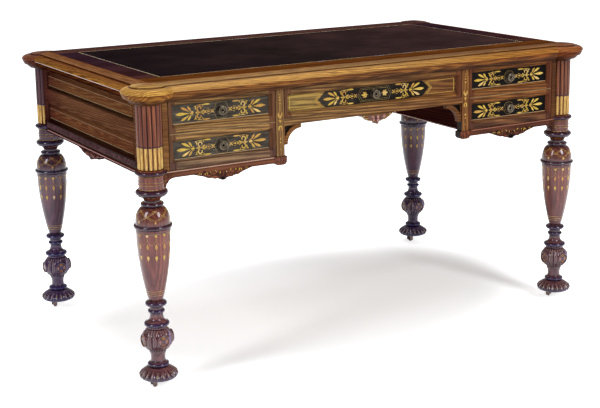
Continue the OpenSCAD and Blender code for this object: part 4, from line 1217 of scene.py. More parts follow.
class MakeEdge(bpy.types.Operator):
    """Moulded edge in four lengths and the four turned corner caps"""

    bl_idname = "writing_table.edge"
    bl_label = "Moulded edge"

    def execute(self, context):
        sizes = context.scene.writing_table_sizes
        profile = finer(edge_profile(sizes), 2 * MM)
        inner = np.array([[18 * MM, EDGE_Z], [12 * MM, TOP_Z - 25 * MM], [-6 * MM, TOP_Z - 12 * MM]])
        closed = np.concatenate([profile, inner])
        tone = np.concatenate([shares(profile), [1, 1, 0]])
        rows, n = 9, len(closed)
        ends = np.stack([np.arange(n)[::-1], (rows - 1) * n + np.arange(n)])
        faces = [weave(rows, n, close_cols=True), ends]
        runs = {"front": (LEG_X, LEG_Y, 0), "right": (LEG_Y, LEG_X, 90),
                "back": (LEG_X, LEG_Y, 180), "left": (LEG_Y, LEG_X, 270)}
        for side, (half, out, turn) in runs.items():
            x, y = np.meshgrid(np.linspace(-half, half, rows), -out - closed[:, 0], indexing="ij")
            z = np.tile(closed[:, 1], (rows, 1))
            a = math.radians(turn)
            points = np.stack([x * math.cos(a) - y * math.sin(a),
                               x * math.sin(a) + y * math.cos(a), z], axis=-1).reshape(-1, 3)
            key = "edge_x" if turn % 180 == 0 else "edge_y"
            piece(f"{side}_edge_moulding", "table", finish(key),
                  (points, faces, np.tile(tone, rows)), ("edge_mouldings",), 30)
        ring = finer(edge_profile(sizes), 1.5 * MM)
        under = [(32 * MM, CAP_Z), (34 * MM, CAP_Z + 2 * MM)]
        cap = np.concatenate([under, ring[::-1] + [sizes.cap_step, 0]])
        points, faces, tones = turned(cap, 96, tone=np.concatenate([[1, 1], shares(ring)[::-1]]))
        for i, corner in enumerate(CORNERS):
            piece(f"{corner}_corner_cap", "table", finish("cap"),
                  (points + leg_centre(i), faces, tones), ("corner_caps",), 30)
        return {"FINISHED"}


# The leather's waves, each (height in millimetres, share along X, share along Y, shift), the
# radians to the metre that the shares multiply, and the places of its two seams along X

WAVES = ((0.05, 1, 1, 0), (0.035, 2.3, 1.7, 2), (0.02, 4.1, 3.3, 4))
WAVE_X, WAVE_Y = 7, 9
SEAMS = (-0.19, 0.19)


def leather_surface():
    """Thin closed surface a little inside the leather's box. Its upper side swells by three
    waves, each a sine along X times a cosine along Y. It droops by an amount that fades away
    from the rim, and by a narrow bell along each seam."""
    nx, ny = 161, 81
    gap = 0.3 * MM
    x0, y0, z0 = LEATHER_LOW + gap
    x1, y1, z1 = LEATHER_HIGH - gap
    x, y = np.meshgrid(np.linspace(x0, x1, nx), np.linspace(y0, y1, ny), indexing="ij")
    swell = sum(a * np.sin(k * x * WAVE_X + p) * np.cos(m * y * WAVE_Y - p) for a, k, m, p in WAVES)
    rim = np.minimum(np.minimum(x - x0, x1 - x), np.minimum(y - y0, y1 - y))
    seam = sum(np.exp(-((x - s) / (1.6 * MM)) ** 2) for s in SEAMS)
    droop = 0.15 + 0.35 * np.exp(-rim / (2 * MM)) + 0.12 * seam
    z = z1 + gap + (swell - droop) * MM
    upper = np.stack([x, y, z], axis=-1).reshape(-1, 3)
    lower = np.stack([x, y, 0 * z + z0], axis=-1).reshape(-1, 3)
    faces = weave(nx, ny)[:, ::-1]
    index = np.arange(nx * ny).reshape(nx, ny)
    loop = np.concatenate([index[:-1, 0], index[-1, :-1], index[:0:-1, -1], index[0, :0:-1]])
    after = np.roll(loop, -1)
    wall = np.stack([loop + nx * ny, after + nx * ny, after, loop], axis=1)
    return (np.concatenate([upper, lower]), [faces, faces[:, ::-1] + nx * ny, wall],
            np.zeros(2 * nx * ny))


def tooled_line(sizes):
    """The leather's gilt line: whole at the front and back, worn to dashes at both ends, and
    widest at the left end."""
    half = ((LEATHER_HIGH - LEATHER_LOW)[:2] / 2 - sizes.line_inset) / MM
    w = sizes.line_width / 2 / MM
    marks = []
    corners = half * [(-1, -1), (1, -1), (1, 1), (-1, 1)]
    for k, (a, b) in enumerate(zip(corners, np.roll(corners, -1, axis=0))):
        pitch, gap = (9, 0.32) if k % 2 else (30, 0.0)
        count = int(np.hypot(*(b - a)) // pitch)
        for m in range(count):
            ends = [a + (b - a) * t / count for t in (m, m + 1 - gap)]
            marks.append(line(*ends, w if k == 3 else w * 0.62))
    return marks


class MakeLeather(bpy.types.Operator):
    """Leather writing surface, softly uneven, with its tooled gilt line"""

    bl_idname = "writing_table.leather"
    bl_label = "Leather"

    def execute(self, context):
        sizes = context.scene.writing_table_sizes
        piece("leather_top", "table", finish("leather"), leather_surface(),
              ("leather_panel",), 50)
        stroked("leather_gilt_line", "table", "gilding", "gilt_line", tooled_line(sizes),
                on_top(LEATHER_HIGH[2] + 0.02 * MM), 0.12 * MM, 0.4 * MM, seed=3)
        return {"FINISHED"}


# Drawers

def bead_on_face(r, z, t):
    """Half round ring on a face turned square to the axis, from its outside in."""
    return [(r + t / 2 * math.cos(a), z + t / 2 * math.sin(a)) for a in np.linspace(0, math.pi, 7)]


def knob_turning(r, front, back):
    """Knob about its own axis, from the nut behind the panel's face to the dark eye. Its radius,
    and how far it reaches before and behind the face, are in millimetres."""
    lip = r - 4
    nut = [(3, -back), (3, 1 - back), (7, 1 - back), (7, 5 - back), (3, 5 - back), (3, 0)]
    base = [(r, 0), (r, 1.2), (r - 0.6, 2), (r - 1.5, 2.5), (8.4, 3), (8, 3.6)]
    neck = [(8, front - 6.5), (lip + 1.4, front - 5.7)]
    rim = [(lip + 3 * math.cos(math.radians(t)), front - 3 + 3 * math.sin(math.radians(t)))
           for t in range(-60, 91, 15)]
    dish = [(lip - 1, front - 0.9)] + bead_on_face(lip - 2.4, front - 1.5, 1.4)
    eye = [(5, front - 3), (3.2, front - 3.4), (2.6, front - 3.6), (2.4, front - 5),
           (0.5, front - 5)]
    profile = finer(np.array(nut + base + neck + rim + dish + eye) * MM, 1.2 * MM)
    # The tone is painted shade: part way on the stem and round the inner bead, full in the eye
    away, rise = profile.T / MM
    stem = (rise > 0) & (rise < front - 5.5)
    groove = 0.55 * stem + 0.6 * ((away > r - 8.3) & (away < r - 6.4))
    return turned(profile, 48, tone=np.where((away < 3.7) & (rise > 0), 1, groove))


class MakeKnobs(bpy.types.Operator):
    """Turned drawer knobs with rings, and an eye darkened with painted shade"""

    bl_idname = "writing_table.knobs"
    bl_label = "Knobs"

    def execute(self, context):
        r = context.scene.writing_table_sizes.knob_radius / MM
        for d in DRAWERS:
            node_name = f"{d}_drawer_knob"
            front = (-PANEL_Y - low(node_name)[1]) / MM
            back = (high(node_name)[1] + PANEL_Y) / MM
            body = knob_turning(r, front, back)
            middle = centre_of(node_name)
            knob = placed(body, (middle[0], -PANEL_Y, middle[2]), (1, 0, 0), UP, (0, -1, 0))
            piece(f"{d}_knob_turning", f"{d}_drawer", finish("bronze"), knob,
                  (node_name,))
        return {"FINISHED"}


# Marquetry, in millimetres from a panel's middle or from the foot of each ornament

def palmette():
    """Palmette that points along +u: long centre leaf, two pairs of side leaves and a calyx."""
    pairs = [leaf((6, 1.4), (32, 16.2), 3.0, 0.05, 0.66),
             leaf((3, 1.8), (14, 17.6), 2.5, 0.06, 0.62), leaf((-2.5, 1.2), (4, 5), 1.0, 0.1, 0.5)]
    middle = [leaf((5, 0), (46, 0), 3.7, 0, 0.66), leaf((-4, 0), (8, 0), 2.2, 0, 0.5)]
    return middle + mirrored(pairs, 1)


def scrolls():
    """Pair of scrolls back to back about v = 0, with an upright bar and finials beside them."""
    half = [bow((-0.5, 9.3), 6.4, -70, 215, 1.5, -0.35, -0.3),
            leaf((7.5, 5.5), (8.5, 17.8), 1.7, -0.12), bow((13.6, 9), 5, 190, 110, 1.0, 0.2, -0.4),
            leaf((-3, 2.5), (-13, 6.4), 1.3, 0.16), leaf((-6.5, 13.5), (-11, 17.2), 1.0, 0.1),
            dot((12.4, 15.9), 1.3), line((1, 3), (7, 1.5), 0.8)]
    return mirrored(half, 1) + [line((-10, 0), (11, 0), 0.8), dot((6.5, 0), 2.0, 1.3),
                                dot((0, 0), 2.3)]


def chain():
    """Cross of four leaves, bud and rosette in a row along +u, from u = 0."""
    cross = [leaf((0, 0), (4.6 * a, 4.8 * b), 1.15, 0, 0.55) for a in (-1, 1) for b in (-1, 1)]
    rose = moved(cross, 19, 0, 0.85)
    buds = mirrored([leaf((6, 0.8), (14, 3.6), 0.9, -0.14, 0.5),
                     leaf((6, 4), (14, 6.4), 0.5, 0.1, 0.5)], 1)
    return cross + rose + buds + [dot((0, 0), 1.7), dot((19, 0), 1.9),
                                  leaf((5, 0), (14.5, 0), 1.5, 0, 0.5),
                                  leaf((22, 0), (30, 0), 1.2, 0, 0.5)]


def long_leaves():
    """Long thin leaves along the upper and lower edges of a panel."""
    return mirrored([leaf((0, 18), (24, 18), 1.9, 0.02, 0.4),
                     leaf((23, 18.3), (39, 17.8), 0.9, 0, 0.3)], 1)


def marquetry(shift=0.0):
    """Both halves of the inlay beside a knob; shift moves them away from the knob."""
    half = moved(palmette(), 78) + moved(scrolls(), 60) + moved(chain(), 25)
    return mirrored(moved(half + moved(long_leaves(), 30), shift), 0)


def outline(points, width):
    """Closed line through corner points."""
    return [line(a, b, width) for a, b in zip(points, points[1:] + points[:1])]


def hexagon(tip, shoulder, half, width):
    """Closed line with a point at either end: half length to the tips and to the shoulders."""
    return outline([(tip, 0), (shoulder, half), (-shoulder, half), (-tip, 0), (-shoulder, -half),
                    (shoulder, -half)], width)


class MakeSideMarquetry(bpy.types.Operator):
    """Inlay of the four side drawers' ebonised panels"""

    bl_idname = "writing_table.side_marquetry"
    bl_label = "Side drawers' inlay"

    def execute(self, context):
        proud = context.scene.writing_table_sizes.inlay_proud
        drawn_half = 132.5
        for k, d in enumerate(DRAWERS[:4]):
            panel = f"{d}_drawer_panel"
            x, _, z = centre_of(panel)
            half = (high(panel) - low(panel))[0] / MM / 2
            ground = on_front(x, PANEL_Y, z)
            if "left" in d:
                knob_line = hexagon(21, 13, 20, 0.4)
            else:
                knob_line = [bow((0, 0), 17.2, start, start + 90, 0.45) for start in QUARTERS]
            stroked(f"{d}_drawer_marquetry", f"{d}_drawer", "ebonised_inlay", "inlay",
                    moved(marquetry(), size=half / drawn_half), ground, proud, seed=k + 11)
            stroked(f"{d}_drawer_knob_line", f"{d}_drawer", "ebonised_inlay", "pale_string",
                    knob_line, ground, proud, seed=k + 31)
        return {"FINISHED"}


CARTOUCHE_TIP, CARTOUCHE_SHOULDER, CARTOUCHE_THICK = 174.0, 152.0, 0.2 * MM


def cartouche(ground, half_v, knob_radius):
    """Thin plate with a point at either end and a hole behind the knob, closed all round."""
    edge = half_v - 0.3
    upper = np.array([(-CARTOUCHE_TIP, 0), (-CARTOUCHE_SHOULDER, edge), (0, edge),
                      (CARTOUCHE_SHOULDER, edge), (CARTOUCHE_TIP, 0)])
    turn = np.radians(np.linspace(180, 0, len(upper)))
    hole = knob_radius * 0.5 / MM * np.stack([np.cos(turn), np.sin(turn)], axis=1)
    outer, inner = (np.concatenate([half, (half * [1, -1])[-2:0:-1]]) for half in (upper, hole))
    n = len(outer)
    rows = [ground(*(p.T * MM), np.full(n, h)) for p, h in (
        (outer, -SINK), (outer, CARTOUCHE_THICK), (inner, CARTOUCHE_THICK), (inner, -SINK))]
    faces = weave(4, n, close_cols=True, close_rows=True)[:, ::-1]
    return np.concatenate(rows), [faces], np.zeros(4 * n)


def centre_buds():
    """Five small leaves on each side of the centre knob."""
    pairs = mirrored([leaf((28, 0.8), (37, 7.5), 1.8, 0.05),
                      leaf((25, 0.6), (30, 7.5), 1.4, 0.05)], 1)
    return mirrored([leaf((20, 0), (42, 0), 2.8, 0, 0.62)] + pairs, 0)


def string_lines(half_u, half_v):
    """Thin lines on the centre panel: three slanted pairs beside each point of the cartouche, and
    a frame of three sides at each end."""
    slope = (CARTOUCHE_TIP - CARTOUCHE_SHOULDER) * 0.8
    strings = []
    for gap in (5, 8.2, 11.4):
        start = CARTOUCHE_TIP + gap
        strings += mirrored([line((start, 0), (start - slope, half_v * 0.8), 0.5)], 1)
    top, end = half_v - 4, half_u - 6
    strings += mirrored([line((CARTOUCHE_TIP - 4, top), (end, top), 0.8)], 1)
    return mirrored(strings + [line((end, -top), (end, top), 0.8)], 0)


class MakeCentreMarquetry(bpy.types.Operator):
    """Ebonised cartouche of the centre drawer, its inlay, and the string lines round it"""

    bl_idname = "writing_table.centre_marquetry"
    bl_label = "Centre drawer's inlay"

    def execute(self, context):
        sizes = context.scene.writing_table_sizes
        panel = "centre_drawer_panel"
        x, _, z = centre_of(panel)
        half_u, _, half_v = (high(panel) - low(panel)) / 2 / MM
        ground = on_front(x, PANEL_Y, z)
        piece("centre_cartouche", "centre_drawer", finish("ebony"),
              cartouche(ground, half_v, sizes.knob_radius), sharp=20)
        knob_lines = []
        for inset in (0.0, 3.6):
            u = 53 - inset * 1.3
            knob_lines += hexagon(u, u - 9, 17.6 - inset, 0.38)
        raised = on_front(x, PANEL_Y + CARTOUCHE_THICK, z)
        for name, key, strokes, base, seed in (
                ("marquetry", "inlay", marquetry(35) + centre_buds(), raised, 21),
                ("knob_line", "pale_string", knob_lines, raised, 22),
                ("string_lines", "string", string_lines(half_u, half_v), ground, 23)):
            stroked(f"centre_drawer_{name}", "centre_drawer", "rosewood_inlay", key, strokes, base,
                    sizes.inlay_proud, seed=seed)
        return {"FINISHED"}


def upright_marks():
    """Dots, tulip and drops down an upright, at their heights from the floor."""
    marks = [dot((0, 704), 0.8, 2.2), dot((0, 697), 1.3, 1.4), dot((0, 690), 1.5, 1.3),
             dot((0, 681), 2.1, 1.2), line((0, 676.5), (0, 661), 0.4),
             leaf((0, 642), (0, 652), 1.4), dot((0, 635.5), 2.2, 1.1), dot((0, 591), 1.8, 1.5),
             dot((0, 581.5), 1.3, 1.5), dot((0, 564), 0.7, 2.5)]
    return marks + mirrored([leaf((0.4, 641.5), (4.6, 659), 1.9, -0.12, 0.62),
                             leaf((2, 645), (6, 648), 0.8), bow((0, 619), 4.2, 0, 90, 1.3, 0, -0.2),
                             leaf((4.2, 619), (3.4, 611), 1.3, 0.05, 0.3),
                             line((1, 638), (6, 638), 0.5)], 0)


class MakeUprightInlay(bpy.types.Operator):
    """Dots, tulips and drops inlaid down the two uprights, and the carving of their pendants"""

    bl_idname = "writing_table.upright_inlay"
    bl_label = "Uprights' inlay"

    def execute(self, context):
        proud = context.scene.writing_table_sizes.inlay_proud
        marks = upright_marks()
        carved = [line((-17, -0.5), (17, -0.5), 1.2)]
        carved += [bow((u, -16), 4.5, 200, -20, 1.0) for u in (-9, 9)]
        for name, s in SIDES:
            upright = f"{name}_upright"
            x = centre_of(upright)[0]
            stroked(f"{upright}_inlay", "table", "upright_inlay", "inlay", marks,
                    on_front(x, FACE_Y, 0), proud, seed=41 + s)
            ground = on_front(x, -low(upright)[1], BANK_Z - 2 * MM)
            stroked(f"{upright}_pendant_carving", "table", "carcase_rosewood", "carving", carved,
                    ground, 0.8 * MM, SINK, ROUND, True, 45 + s)
        return {"FINISHED"}


# Carving and lines, in millimetres from the middle of each drop or along the table

def shell(half, drop, count):
    """Carved shell: domed leaves that fan out from the bottom of the drop."""
    leaves = []
    for k in range(count):
        t = (k + 0.5) / count * 2 - 1
        a = math.radians(90 - 78 * t)
        reach = drop * (1.05 - 0.15 * abs(t))
        base = np.array([t * half * 0.12, -drop * 0.78])
        tip = base + [reach * math.cos(a) * half / drop * 0.42, reach * math.sin(a) * 0.72]
        leaves.append(leaf(base, tip, 2.9, 0.06 * np.sign(t), 0.72))
    return leaves


def scallop_carving(half, drop):
    """Carving of a scalloped drop: shell, side scrolls and running leaves along its lower edge."""
    side = [bow((half * 0.46, -drop * 0.2), 4.6, 250, -30, 1.7, -0.2, -0.4),
            leaf((half * 0.36, -drop * 0.48), (half * 0.68, -drop * 0.22), 2.2, 0.08, 0.4),
            bow((half * 0.63, 0.5), 4.2, 230, -20, 1.4, -0.2, -0.4),
            leaf((half * 0.66, -drop * 0.2), (half * 0.97, 1.5), 1.5, 0.05, 0.35),
            leaf((half * 0.16, -drop * 0.62), (half * 0.38, -drop * 0.46), 2.4, 0.1, 0.5)]
    return shell(half * 0.8, drop, 9) + mirrored(side, 0) + [dot((0, -drop * 0.83), 3.0, 1.1)]


def scallop_gilding(half):
    """Small gilt loops and strokes either side of a shell."""
    side = [bow((half * 0.57, -2.2), 3.4, 205, -25, 0.9),
            line((half * 0.41, -6), (half * 0.43, 2.5), 0.9),
            leaf((half * 0.8, -4), (half * 0.8, 3.4), 1.1),
            line((half * 0.73, -0.3), (half * 0.87, -0.3), 0.7),
            leaf((half * 0.22, -1), (half * 0.27, 4.5), 0.8),
            leaf((half * 0.12, -6), (half * 0.1, 0), 0.8)]
    return mirrored(side, 0) + [dot((0, -16.5), 1.2)]


def bracket_shade_plate(s):
    """Thin black plate of painted shade that fills a kneehole bracket on side s between its quarter
    round and the square of its corner, closed all round."""
    a, b = low("kneehole_brackets"), high("kneehole_brackets")
    reach, n = b[2] - a[2], 24
    t = np.radians(np.linspace(2, 88, n))
    arc = reach * np.stack([np.cos(t), np.sin(t)])
    square = reach * np.stack([np.minimum(1, 1 / np.tan(t)), np.minimum(1, np.tan(t))])
    ends = np.arange(4)[:, None] * n + [0, n - 1]
    ground = on_front(s * (b[0] - reach), FACE_Y - 8 * MM, a[2])
    rows = [ground(s * u, v, np.full(n, h * MM)) for (u, v), h in (
        (arc, -0.4), (square, -0.4), (square, 0.1), (arc, 0.1))]
    faces = [weave(4, n, close_rows=True)[:, ::s], np.stack([ends[:, 0], ends[::-1, 1]])[:, ::s]]
    return np.concatenate(rows), faces, np.zeros(4 * n)


class MakeFrontLines(bpy.types.Operator):
    """Painted highlight lines on the arrises of drawers, panels and aprons, and black plates of painted
    shade in the brackets
    """

    bl_idname = "writing_table.front_lines"
    bl_label = "Front lines"

    def execute(self, context):
        proud = 0.15 * MM
        face = on_front(0, FACE_Y, 0)
        # Painted highlight lines on the aprons' beads and on the lower drawers' top arrises
        for name, s in SIDES:
            inner, outer = sorted(abs(f(f"{name}_apron")[0]) / MM for f in (low, high))
            z = BANK_Z / MM - 2.5
            stroked(f"{name}_apron_bead", "table", "carcase_rosewood",
                    "worn_edge" if s < 0 else "ledge",
                    [line((s * (inner + 4), z), (s * (outer - 2), z), 1.2)],
                    on_front(0, FACE_Y + 1.9 * MM, 0), proud, seed=71)
            drawer = f"lower_{name}_drawer"
            a, b = low(f"{drawer}_front") / MM, high(f"{drawer}_front") / MM
            stroked(f"{name}_drawer_arris", drawer, "drawer_front", "arris",
                    [line((a[0] + 1.5, b[2] - 0.7), (b[0] - 1.5, b[2] - 0.7), 0.7)], face, proud,
                    seed=72)
        # A painted highlight line along each side drawer panel's lower edge
        for d in DRAWERS[:4]:
            a, b = low(f"{d}_drawer_panel") / MM, high(f"{d}_drawer_panel") / MM
            rail = 22 if "lower" in d else 20
            z = low(f"{d}_drawer_front")[2] / MM + rail + 0.6
            stroked(f"{d}_drawer_panel_line", f"{d}_drawer", "ebonised_inlay", "worn_edge",
                    [line((a[0] + 1, z), (b[0] - 1, z), 0.8)], on_front(0, PANEL_Y, 0), proud,
                    seed=73)
        # A painted highlight line along each kneehole side's lower edge
        for name, s in SIDES:
            a, b = low(f"{name}_inner_side"), high(f"{name}_inner_side")
            v = a[2] / MM + 1.6
            strip = [line((-s * (a[1] / MM + 6), v), (-s * (b[1] / MM - 6), v), 1.2)]
            stroked(f"{name}_kneehole_line", "table", "inner_wood", "worn_edge", strip,
                    on_side(-s, -min(abs(a[0]), abs(b[0])), 0), proud, seed=74)
        # Black plates of painted shade in the brackets' corners
        for name, s in SIDES:
            piece(f"{name}_bracket_shade", "table", finish("black"),
                  bracket_shade_plate(s), sharp=20)
        return {"FINISHED"}


class MakeFrontCarving(bpy.types.Operator):
    """Carved shells under the drawer banks and the centre rail, with their gilt marks"""

    bl_idname = "writing_table.front_carving"
    bl_label = "Front carving"

    def execute(self, context):
        relief = context.scene.writing_table_sizes.carving_relief
        drop_z = BANK_Z - 18 * MM
        middle = centre_of("upper_right_drawer_front")[0] + 4 * MM
        shells = scallop_carving(82, 23)
        scroll = moved([bow((601, 534), 6.5, 200, -60, 1.8, -0.3, -0.4), dot((602, 534), 2.0),
                        leaf((607, 516), (604, 526), 1.6)], -middle / MM, -drop_z / MM)
        for name, s in SIDES:
            ground = on_front(s * middle, FACE_Y, drop_z)
            end = [(spine * [s, 1], width) for spine, width in scroll]
            # The ground is a dark sheet of painted shade round the carved shells
            for kind, slot, key, strokes, height, sink, more in (
                    ("ground", "carcase_rosewood", "pit", widened(shells, 1.3), 0.3 * MM,
                     CARVED_SINK, {}),
                    ("carving", "carcase_rosewood", "carving", shells + end, relief,
                     CARVED_SINK, {"seed": 51, **DOMED}),
                    ("drop", "carcase_rosewood", "black", [dot((0, -18.2), 4.4)], relief * 1.4,
                     CARVED_SINK, DOMED),
                    ("gilding", "gilding", "inlay", scallop_gilding(82), relief * 0.75,
                     CARVED_SINK, {"seed": 52})):
                stroked(f"{name}_apron_{kind}", "table", slot, key, strokes, ground, height, sink,
                        **more)
        ground = on_front(0.0, FACE_Y + 1 * MM, low("kneehole_brackets")[2] + 51 * MM)
        lobes = [leaf((s * (3 + 7.5 * k), -25 + 3.2 * k), (s * (5 + 11 * k), -2), 4.3, s * 0.08)
                 for s in (-1, 1) for k in range(3)]
        stroked("centre_leaf_carving", "table", "carcase_rosewood", "leaf",
                lobes + [leaf((0, -1), (0, -25), 2.2)], ground, relief, CARVED_SINK, seed=53, **DOMED)
        gilt = mirrored([dot((41, -2.5), 2.0), dot((33.5, -10.5), 1.6),
                         line((46, -4), (31, -13), 0.6), line((46, -4), (50, 0), 0.6),
                         dot((57, -0.5), 1.2, 1.6)], 0)
        stroked("centre_leaf_gilding", "table", "gilding", "pale_gilt", gilt, ground, relief * 0.5,
                CARVED_SINK, seed=54)
        return {"FINISHED"}


def rope_strands(half, low_z, high_z):
    """Leaning strands side by side along the rope band."""
    pitch, lean = 9, 12
    strands = []
    for k in range(int(2 * half // pitch)):
        u = -half + pitch * (k + 0.5)
        spine = leaf((u - lean / 2, low_z), (u + lean / 2, high_z), 2)[0]
        strands.append((spine, 2.0 * np.sin(np.pi * RUN) ** 0.35 + THIN))
    return strands


class MakeSideCarving(bpy.types.Operator):
    """Rope twist band and carved scallop of the two side frames, with painted highlight lines and
    painted shade behind the band and round the carving
    """

    bl_idname = "writing_table.side_carving"
    bl_label = "Side carving"

    def execute(self, context):
        sizes = context.scene.writing_table_sizes
        bay = (LEG_Y - sizes.column_radius) / MM
        rope_half, line_half = bay - 9, bay - 10
        panel_half = high("side_panels")[1] / MM - 13
        low_z, high_z = 549.6, 565.4
        strands = rope_strands(rope_half, low_z, high_z)
        edge_z, lip_z, band_z = TOP_Z / MM - 21.9, BANK_Z / MM - 5.4, (low_z + high_z) / 2
        edge_line = [line((-line_half, edge_z), (line_half, edge_z), 0.9)]
        band = [line((-rope_half, band_z), (rope_half, band_z), 8.2)]
        lip = [line((-line_half, lip_z), (line_half, lip_z), 1.0)]
        arrises = [line((-panel_half, z), (panel_half, z), 0.45) for z in (580.6, 608.4, 673.6, 699.4)]
        shells = scallop_carving(106, 22)
        edge_x, shell_z = LEG_X + sizes.nose - 2.45 * MM, BANK_Z - 12 * MM
        carcase = "carcase_rosewood"
        for name, s in SIDES:
            # The edge line, ledge line and panel arrises are painted highlights, and the band ground
            # and side ground are dark sheets of painted shade behind the rope band and round the
            # carving
            for kind, slot, key, strokes, x, z, height, sink, more in (
                    ("edge_line", "edge_wood", "pale_edge", edge_line, edge_x, 0, 0.25 * MM,
                     0.8 * MM, {"seed": 64}),
                    ("band_ground", carcase, "black", band, FACE_X + 1.5 * MM, 0, 0.1 * MM,
                     SINK, {"seed": 65}),
                    ("rope_band", carcase, "rope", strands, FACE_X + 1.4 * MM, 0, 2.2 * MM,
                     SINK, {"seed": 61, **DOMED}),
                    ("ledge_line", carcase, "ledge", lip, FACE_X + 1.75 * MM, 0, 0.3 * MM,
                     SINK, {"seed": 66}),
                    ("panel_arrises", "panel_wood", "arris", arrises, FACE_X - 1.5 * MM, 0,
                     0.2 * MM, SINK, {"seed": 67}),
                    ("side_ground", carcase, "pit", widened(shells, 1.3), FACE_X - 4 * MM, shell_z,
                     0.3 * MM, CARVED_SINK, {}),
                    ("side_carving", carcase, "side_carving", shells, FACE_X - 4 * MM, shell_z,
                     sizes.carving_relief, CARVED_SINK, {"seed": 62, **DOMED})):
                stroked(f"{name}_{kind}", "table", slot, key, strokes, on_side(s, x, z), height,
                        sink, **more)
        return {"FINISHED"}


# Stage

CAMERA_AT = (-1.8415, -3.1475, 1.2370)
CAMERA_TURN = math.radians(-30.132)
CAMERA_PITCH = math.radians(11.581)
CAMERA_ROLL = math.radians(-0.870)
CAMERA_SHIFT = -64 / 600
SENSOR_WIDTH = 36

# A lamp's width and height, compass angle and height angle from the aim, and distance

LAMPS_AIM = (0, 0, 0.5)
LAMPS = {"key": (1.0, 2.3, 14, 30, 4.4), "fill": (0.9, 2.3, -74, 28, 4.4),
         "top": (3.0, 2.2, 170, 78, 3.6)}
WORLD_LIGHT = 0.28

# The surroundings seen in a gloss: height and strength of their bright foot and of their top

SKY_FOOT, SKY_TOP = (0.02, 1.0), (0.3, 0.25)

# The floor is lifted to white outside an oval under the table: how the oval's axes are weighed,
# and where the lift starts and ends, as (weighed distance, strength)

FLOOR_OVAL = (1.35, 2.1, 0)
LIFT_START, LIFT_END = (0.75, 0.15), (1.4, 1.0)
FLOOR_REACH = 14.0


def axes(turn, pitch):
    """Right, up and backward directions of what looks along a compass angle and down by the
    pitch. At turn 0 it stands in front of the table."""
    back = np.array([math.sin(turn) * math.cos(pitch), -math.cos(turn) * math.cos(pitch),
                     math.sin(pitch)])
    right = np.array([math.cos(turn), math.sin(turn), 0])
    return right, np.cross(back, right), back


def stand(name, data, right, up, back, at):
    """A lamp or camera that stands at a point and looks against the direction back."""
    turn = np.eye(4)
    turn[:3] = np.stack([right, up, back, at], axis=1)
    obj = bpy.data.objects.new(name, data)
    obj.matrix_world = Matrix(turn.tolist())
    bpy.context.scene.collection.objects.link(obj)
    return obj


def lamp(name, power, width, height, azimuth, elevation, distance):
    """Soft box at a compass angle and a height angle from the lamps' aim, turned towards it."""
    data = bpy.data.lights.new(name, "AREA")
    data.shape = "RECTANGLE"
    data.size, data.size_y, data.energy = width, height, power
    right, up, back = axes(math.radians(azimuth), math.radians(elevation))
    stand(name, data, right, up, back, np.array(LAMPS_AIM) + back * distance)


def shown_rays(owner):
    """Light paths of a material or world, and 1 for what the camera, a gloss or a glass shows."""
    path = node(owner, "ShaderNodeLightPath")
    shown = path.outputs["Is Camera Ray"]
    for key in ("Is Glossy Ray", "Is Transmission Ray"):
        shown = maths(owner, "MAXIMUM", shown, path.outputs[key])
    return path, shown


def float_mix(owner, factor, a, b):
    """Mix of two values."""
    return node(owner, "ShaderNodeMix", {0: factor, 2: a, 3: b}).outputs[0]


def make_world():
    """White surroundings: full for the camera, graded for a gloss or a glass, and weaker as
    light on the table."""
    world = bpy.data.worlds.new("studio")
    world.use_nodes = True
    backdrop = world.node_tree.nodes["Background"]
    backdrop.inputs["Color"].default_value = (*WHITE, 1)
    path, seen = shown_rays(world)
    height = axis_of(world, node(world, "ShaderNodeTexCoord").outputs["Generated"], "Z")
    (foot, foot_level), (top, top_level) = SKY_FOOT, SKY_TOP
    sky = spread(world, height, foot, top, foot_level, top_level)
    shown = float_mix(world, path.outputs["Is Camera Ray"], sky, 1.0)
    link(world, float_mix(world, seen, WORLD_LIGHT, shown), backdrop.inputs["Strength"])
    return world


def floor_finish():
    """Pale floor that keeps the table's shadow and is lifted to white further out."""
    material, main = shader("floor", 0.9, specular=0.0)
    where = object_place(material)
    tones = ramp(material, noise(material, where, FLOOR_CLOUD, 2),
                 [(0.3, 0.870, 0.887, 0.909), (0.7, 0.890, 0.908, 0.930)])
    link(material, tones, main.inputs["Base Color"])
    oval = node(material, "ShaderNodeVectorMath", {0: where, 1: FLOOR_OVAL},
                operation="MULTIPLY").outputs[0]
    away = node(material, "ShaderNodeVectorMath", {0: oval}, operation="LENGTH").outputs["Value"]
    (near, weak), (far, strong) = LIFT_START, LIFT_END
    lift = spread(material, away, near, far, weak, strong, interpolation_type="SMOOTHSTEP")
    lift = maths(material, "MULTIPLY", lift, shown_rays(material)[1])
    link(material, lift, main.inputs["Emission Strength"])
    main.inputs["Emission Color"].default_value = (*WHITE, 1)
    return material


def make_camera(lens):
    """Camera of the photograph's side, rolled a little about its line of sight."""
    data = bpy.data.cameras.new("camera")
    data.lens, data.sensor_width, data.shift_y = lens, SENSOR_WIDTH, CAMERA_SHIFT
    right, up, back = axes(CAMERA_TURN, CAMERA_PITCH)
    c, s = math.cos(CAMERA_ROLL), math.sin(CAMERA_ROLL)
    return stand("camera", data, right * c + up * s, up * c - right * s, back, CAMERA_AT)


def make_floor():
    """Flat floor as a grid, with its finish."""
    n = 9
    across = np.linspace(-FLOOR_REACH, FLOOR_REACH, n)
    points = np.stack([*np.meshgrid(across, across, indexing="ij"), np.zeros((n, n))], axis=-1)
    mesh = bpy.data.meshes.new("floor")
    mesh.from_pydata(points.reshape(-1, 3).tolist(), [], weave(n, n)[:, ::-1].tolist())
    mesh.materials.append(floor_finish())
    return bpy.data.objects.new("floor", mesh)


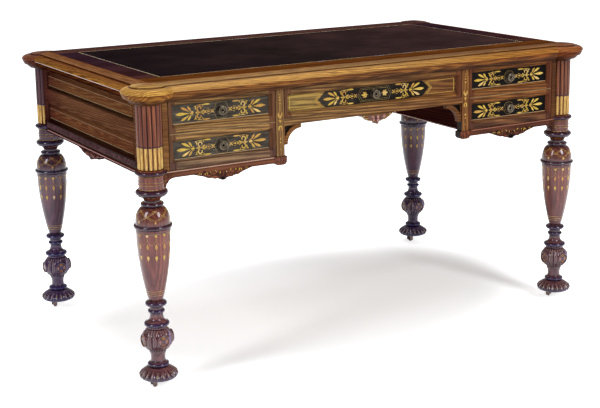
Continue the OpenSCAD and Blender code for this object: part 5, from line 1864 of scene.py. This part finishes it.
class MakeStage(bpy.types.Operator):
    """Pale floor, white surroundings, soft lamps and the camera"""

    bl_idname = "writing_table.stage"
    bl_label = "Stage"

    def execute(self, context):
        scene = context.scene
        settings = scene.writing_table_stage
        scene.view_settings.view_transform = "Standard"
        scene.camera = make_camera(settings.lens)
        for name, place in LAMPS.items():
            lamp(f"{name}_lamp", getattr(settings, f"{name}_power"), *place)
        scene.world = make_world()
        floor = make_floor()
        scene.collection.objects.link(floor)
        return {"FINISHED"}


STEPS_IN_ORDER = (DressSolids, MakeLegs, MakeLegInlay, MakeCastors, MakeEdge, MakeLeather,
                  MakeKnobs, MakeSideMarquetry, MakeCentreMarquetry, MakeUprightInlay,
                  MakeFrontLines, MakeFrontCarving, MakeSideCarving, MakeStage)
GROUPS = {"writing_table_sizes": TableSizes, "writing_table_colours": TableColours,
          "writing_table_stage": StageSettings}


class TablePanel(bpy.types.Panel):
    """Lists the table's steps, sizes and colours"""

    bl_idname = "VIEW3D_PT_writing_table"
    bl_label = "Writing Table"
    bl_space_type = "VIEW_3D"
    bl_region_type = "UI"
    bl_category = "Writing Table"

    def draw(self, context):
        for step in STEPS_IN_ORDER:
            self.layout.operator(step.bl_idname)
        for held in GROUPS:
            box = self.layout.box()
            group = getattr(context.scene, held)
            for key in group.__annotations__:
                box.prop(group, key)


CLASSES = (*GROUPS.values(), *STEPS_IN_ORDER, TablePanel)


def register():
    """Registers the classes and puts the three groups on the scene."""
    for made in CLASSES:
        bpy.utils.register_class(made)
    for held, group in GROUPS.items():
        setattr(bpy.types.Scene, held, PointerProperty(type=group))


def unregister():
    """Takes the groups off the scene and the classes out again."""
    for held in GROUPS:
        delattr(bpy.types.Scene, held)
    for made in reversed(CLASSES):
        bpy.utils.unregister_class(made)


def main():
    """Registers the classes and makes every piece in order."""
    register()
    for step in STEPS_IN_ORDER:
        group, name = step.bl_idname.split(".")
        getattr(getattr(bpy.ops, group), name)()
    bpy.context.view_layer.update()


if __name__ == "__main__":
    main()
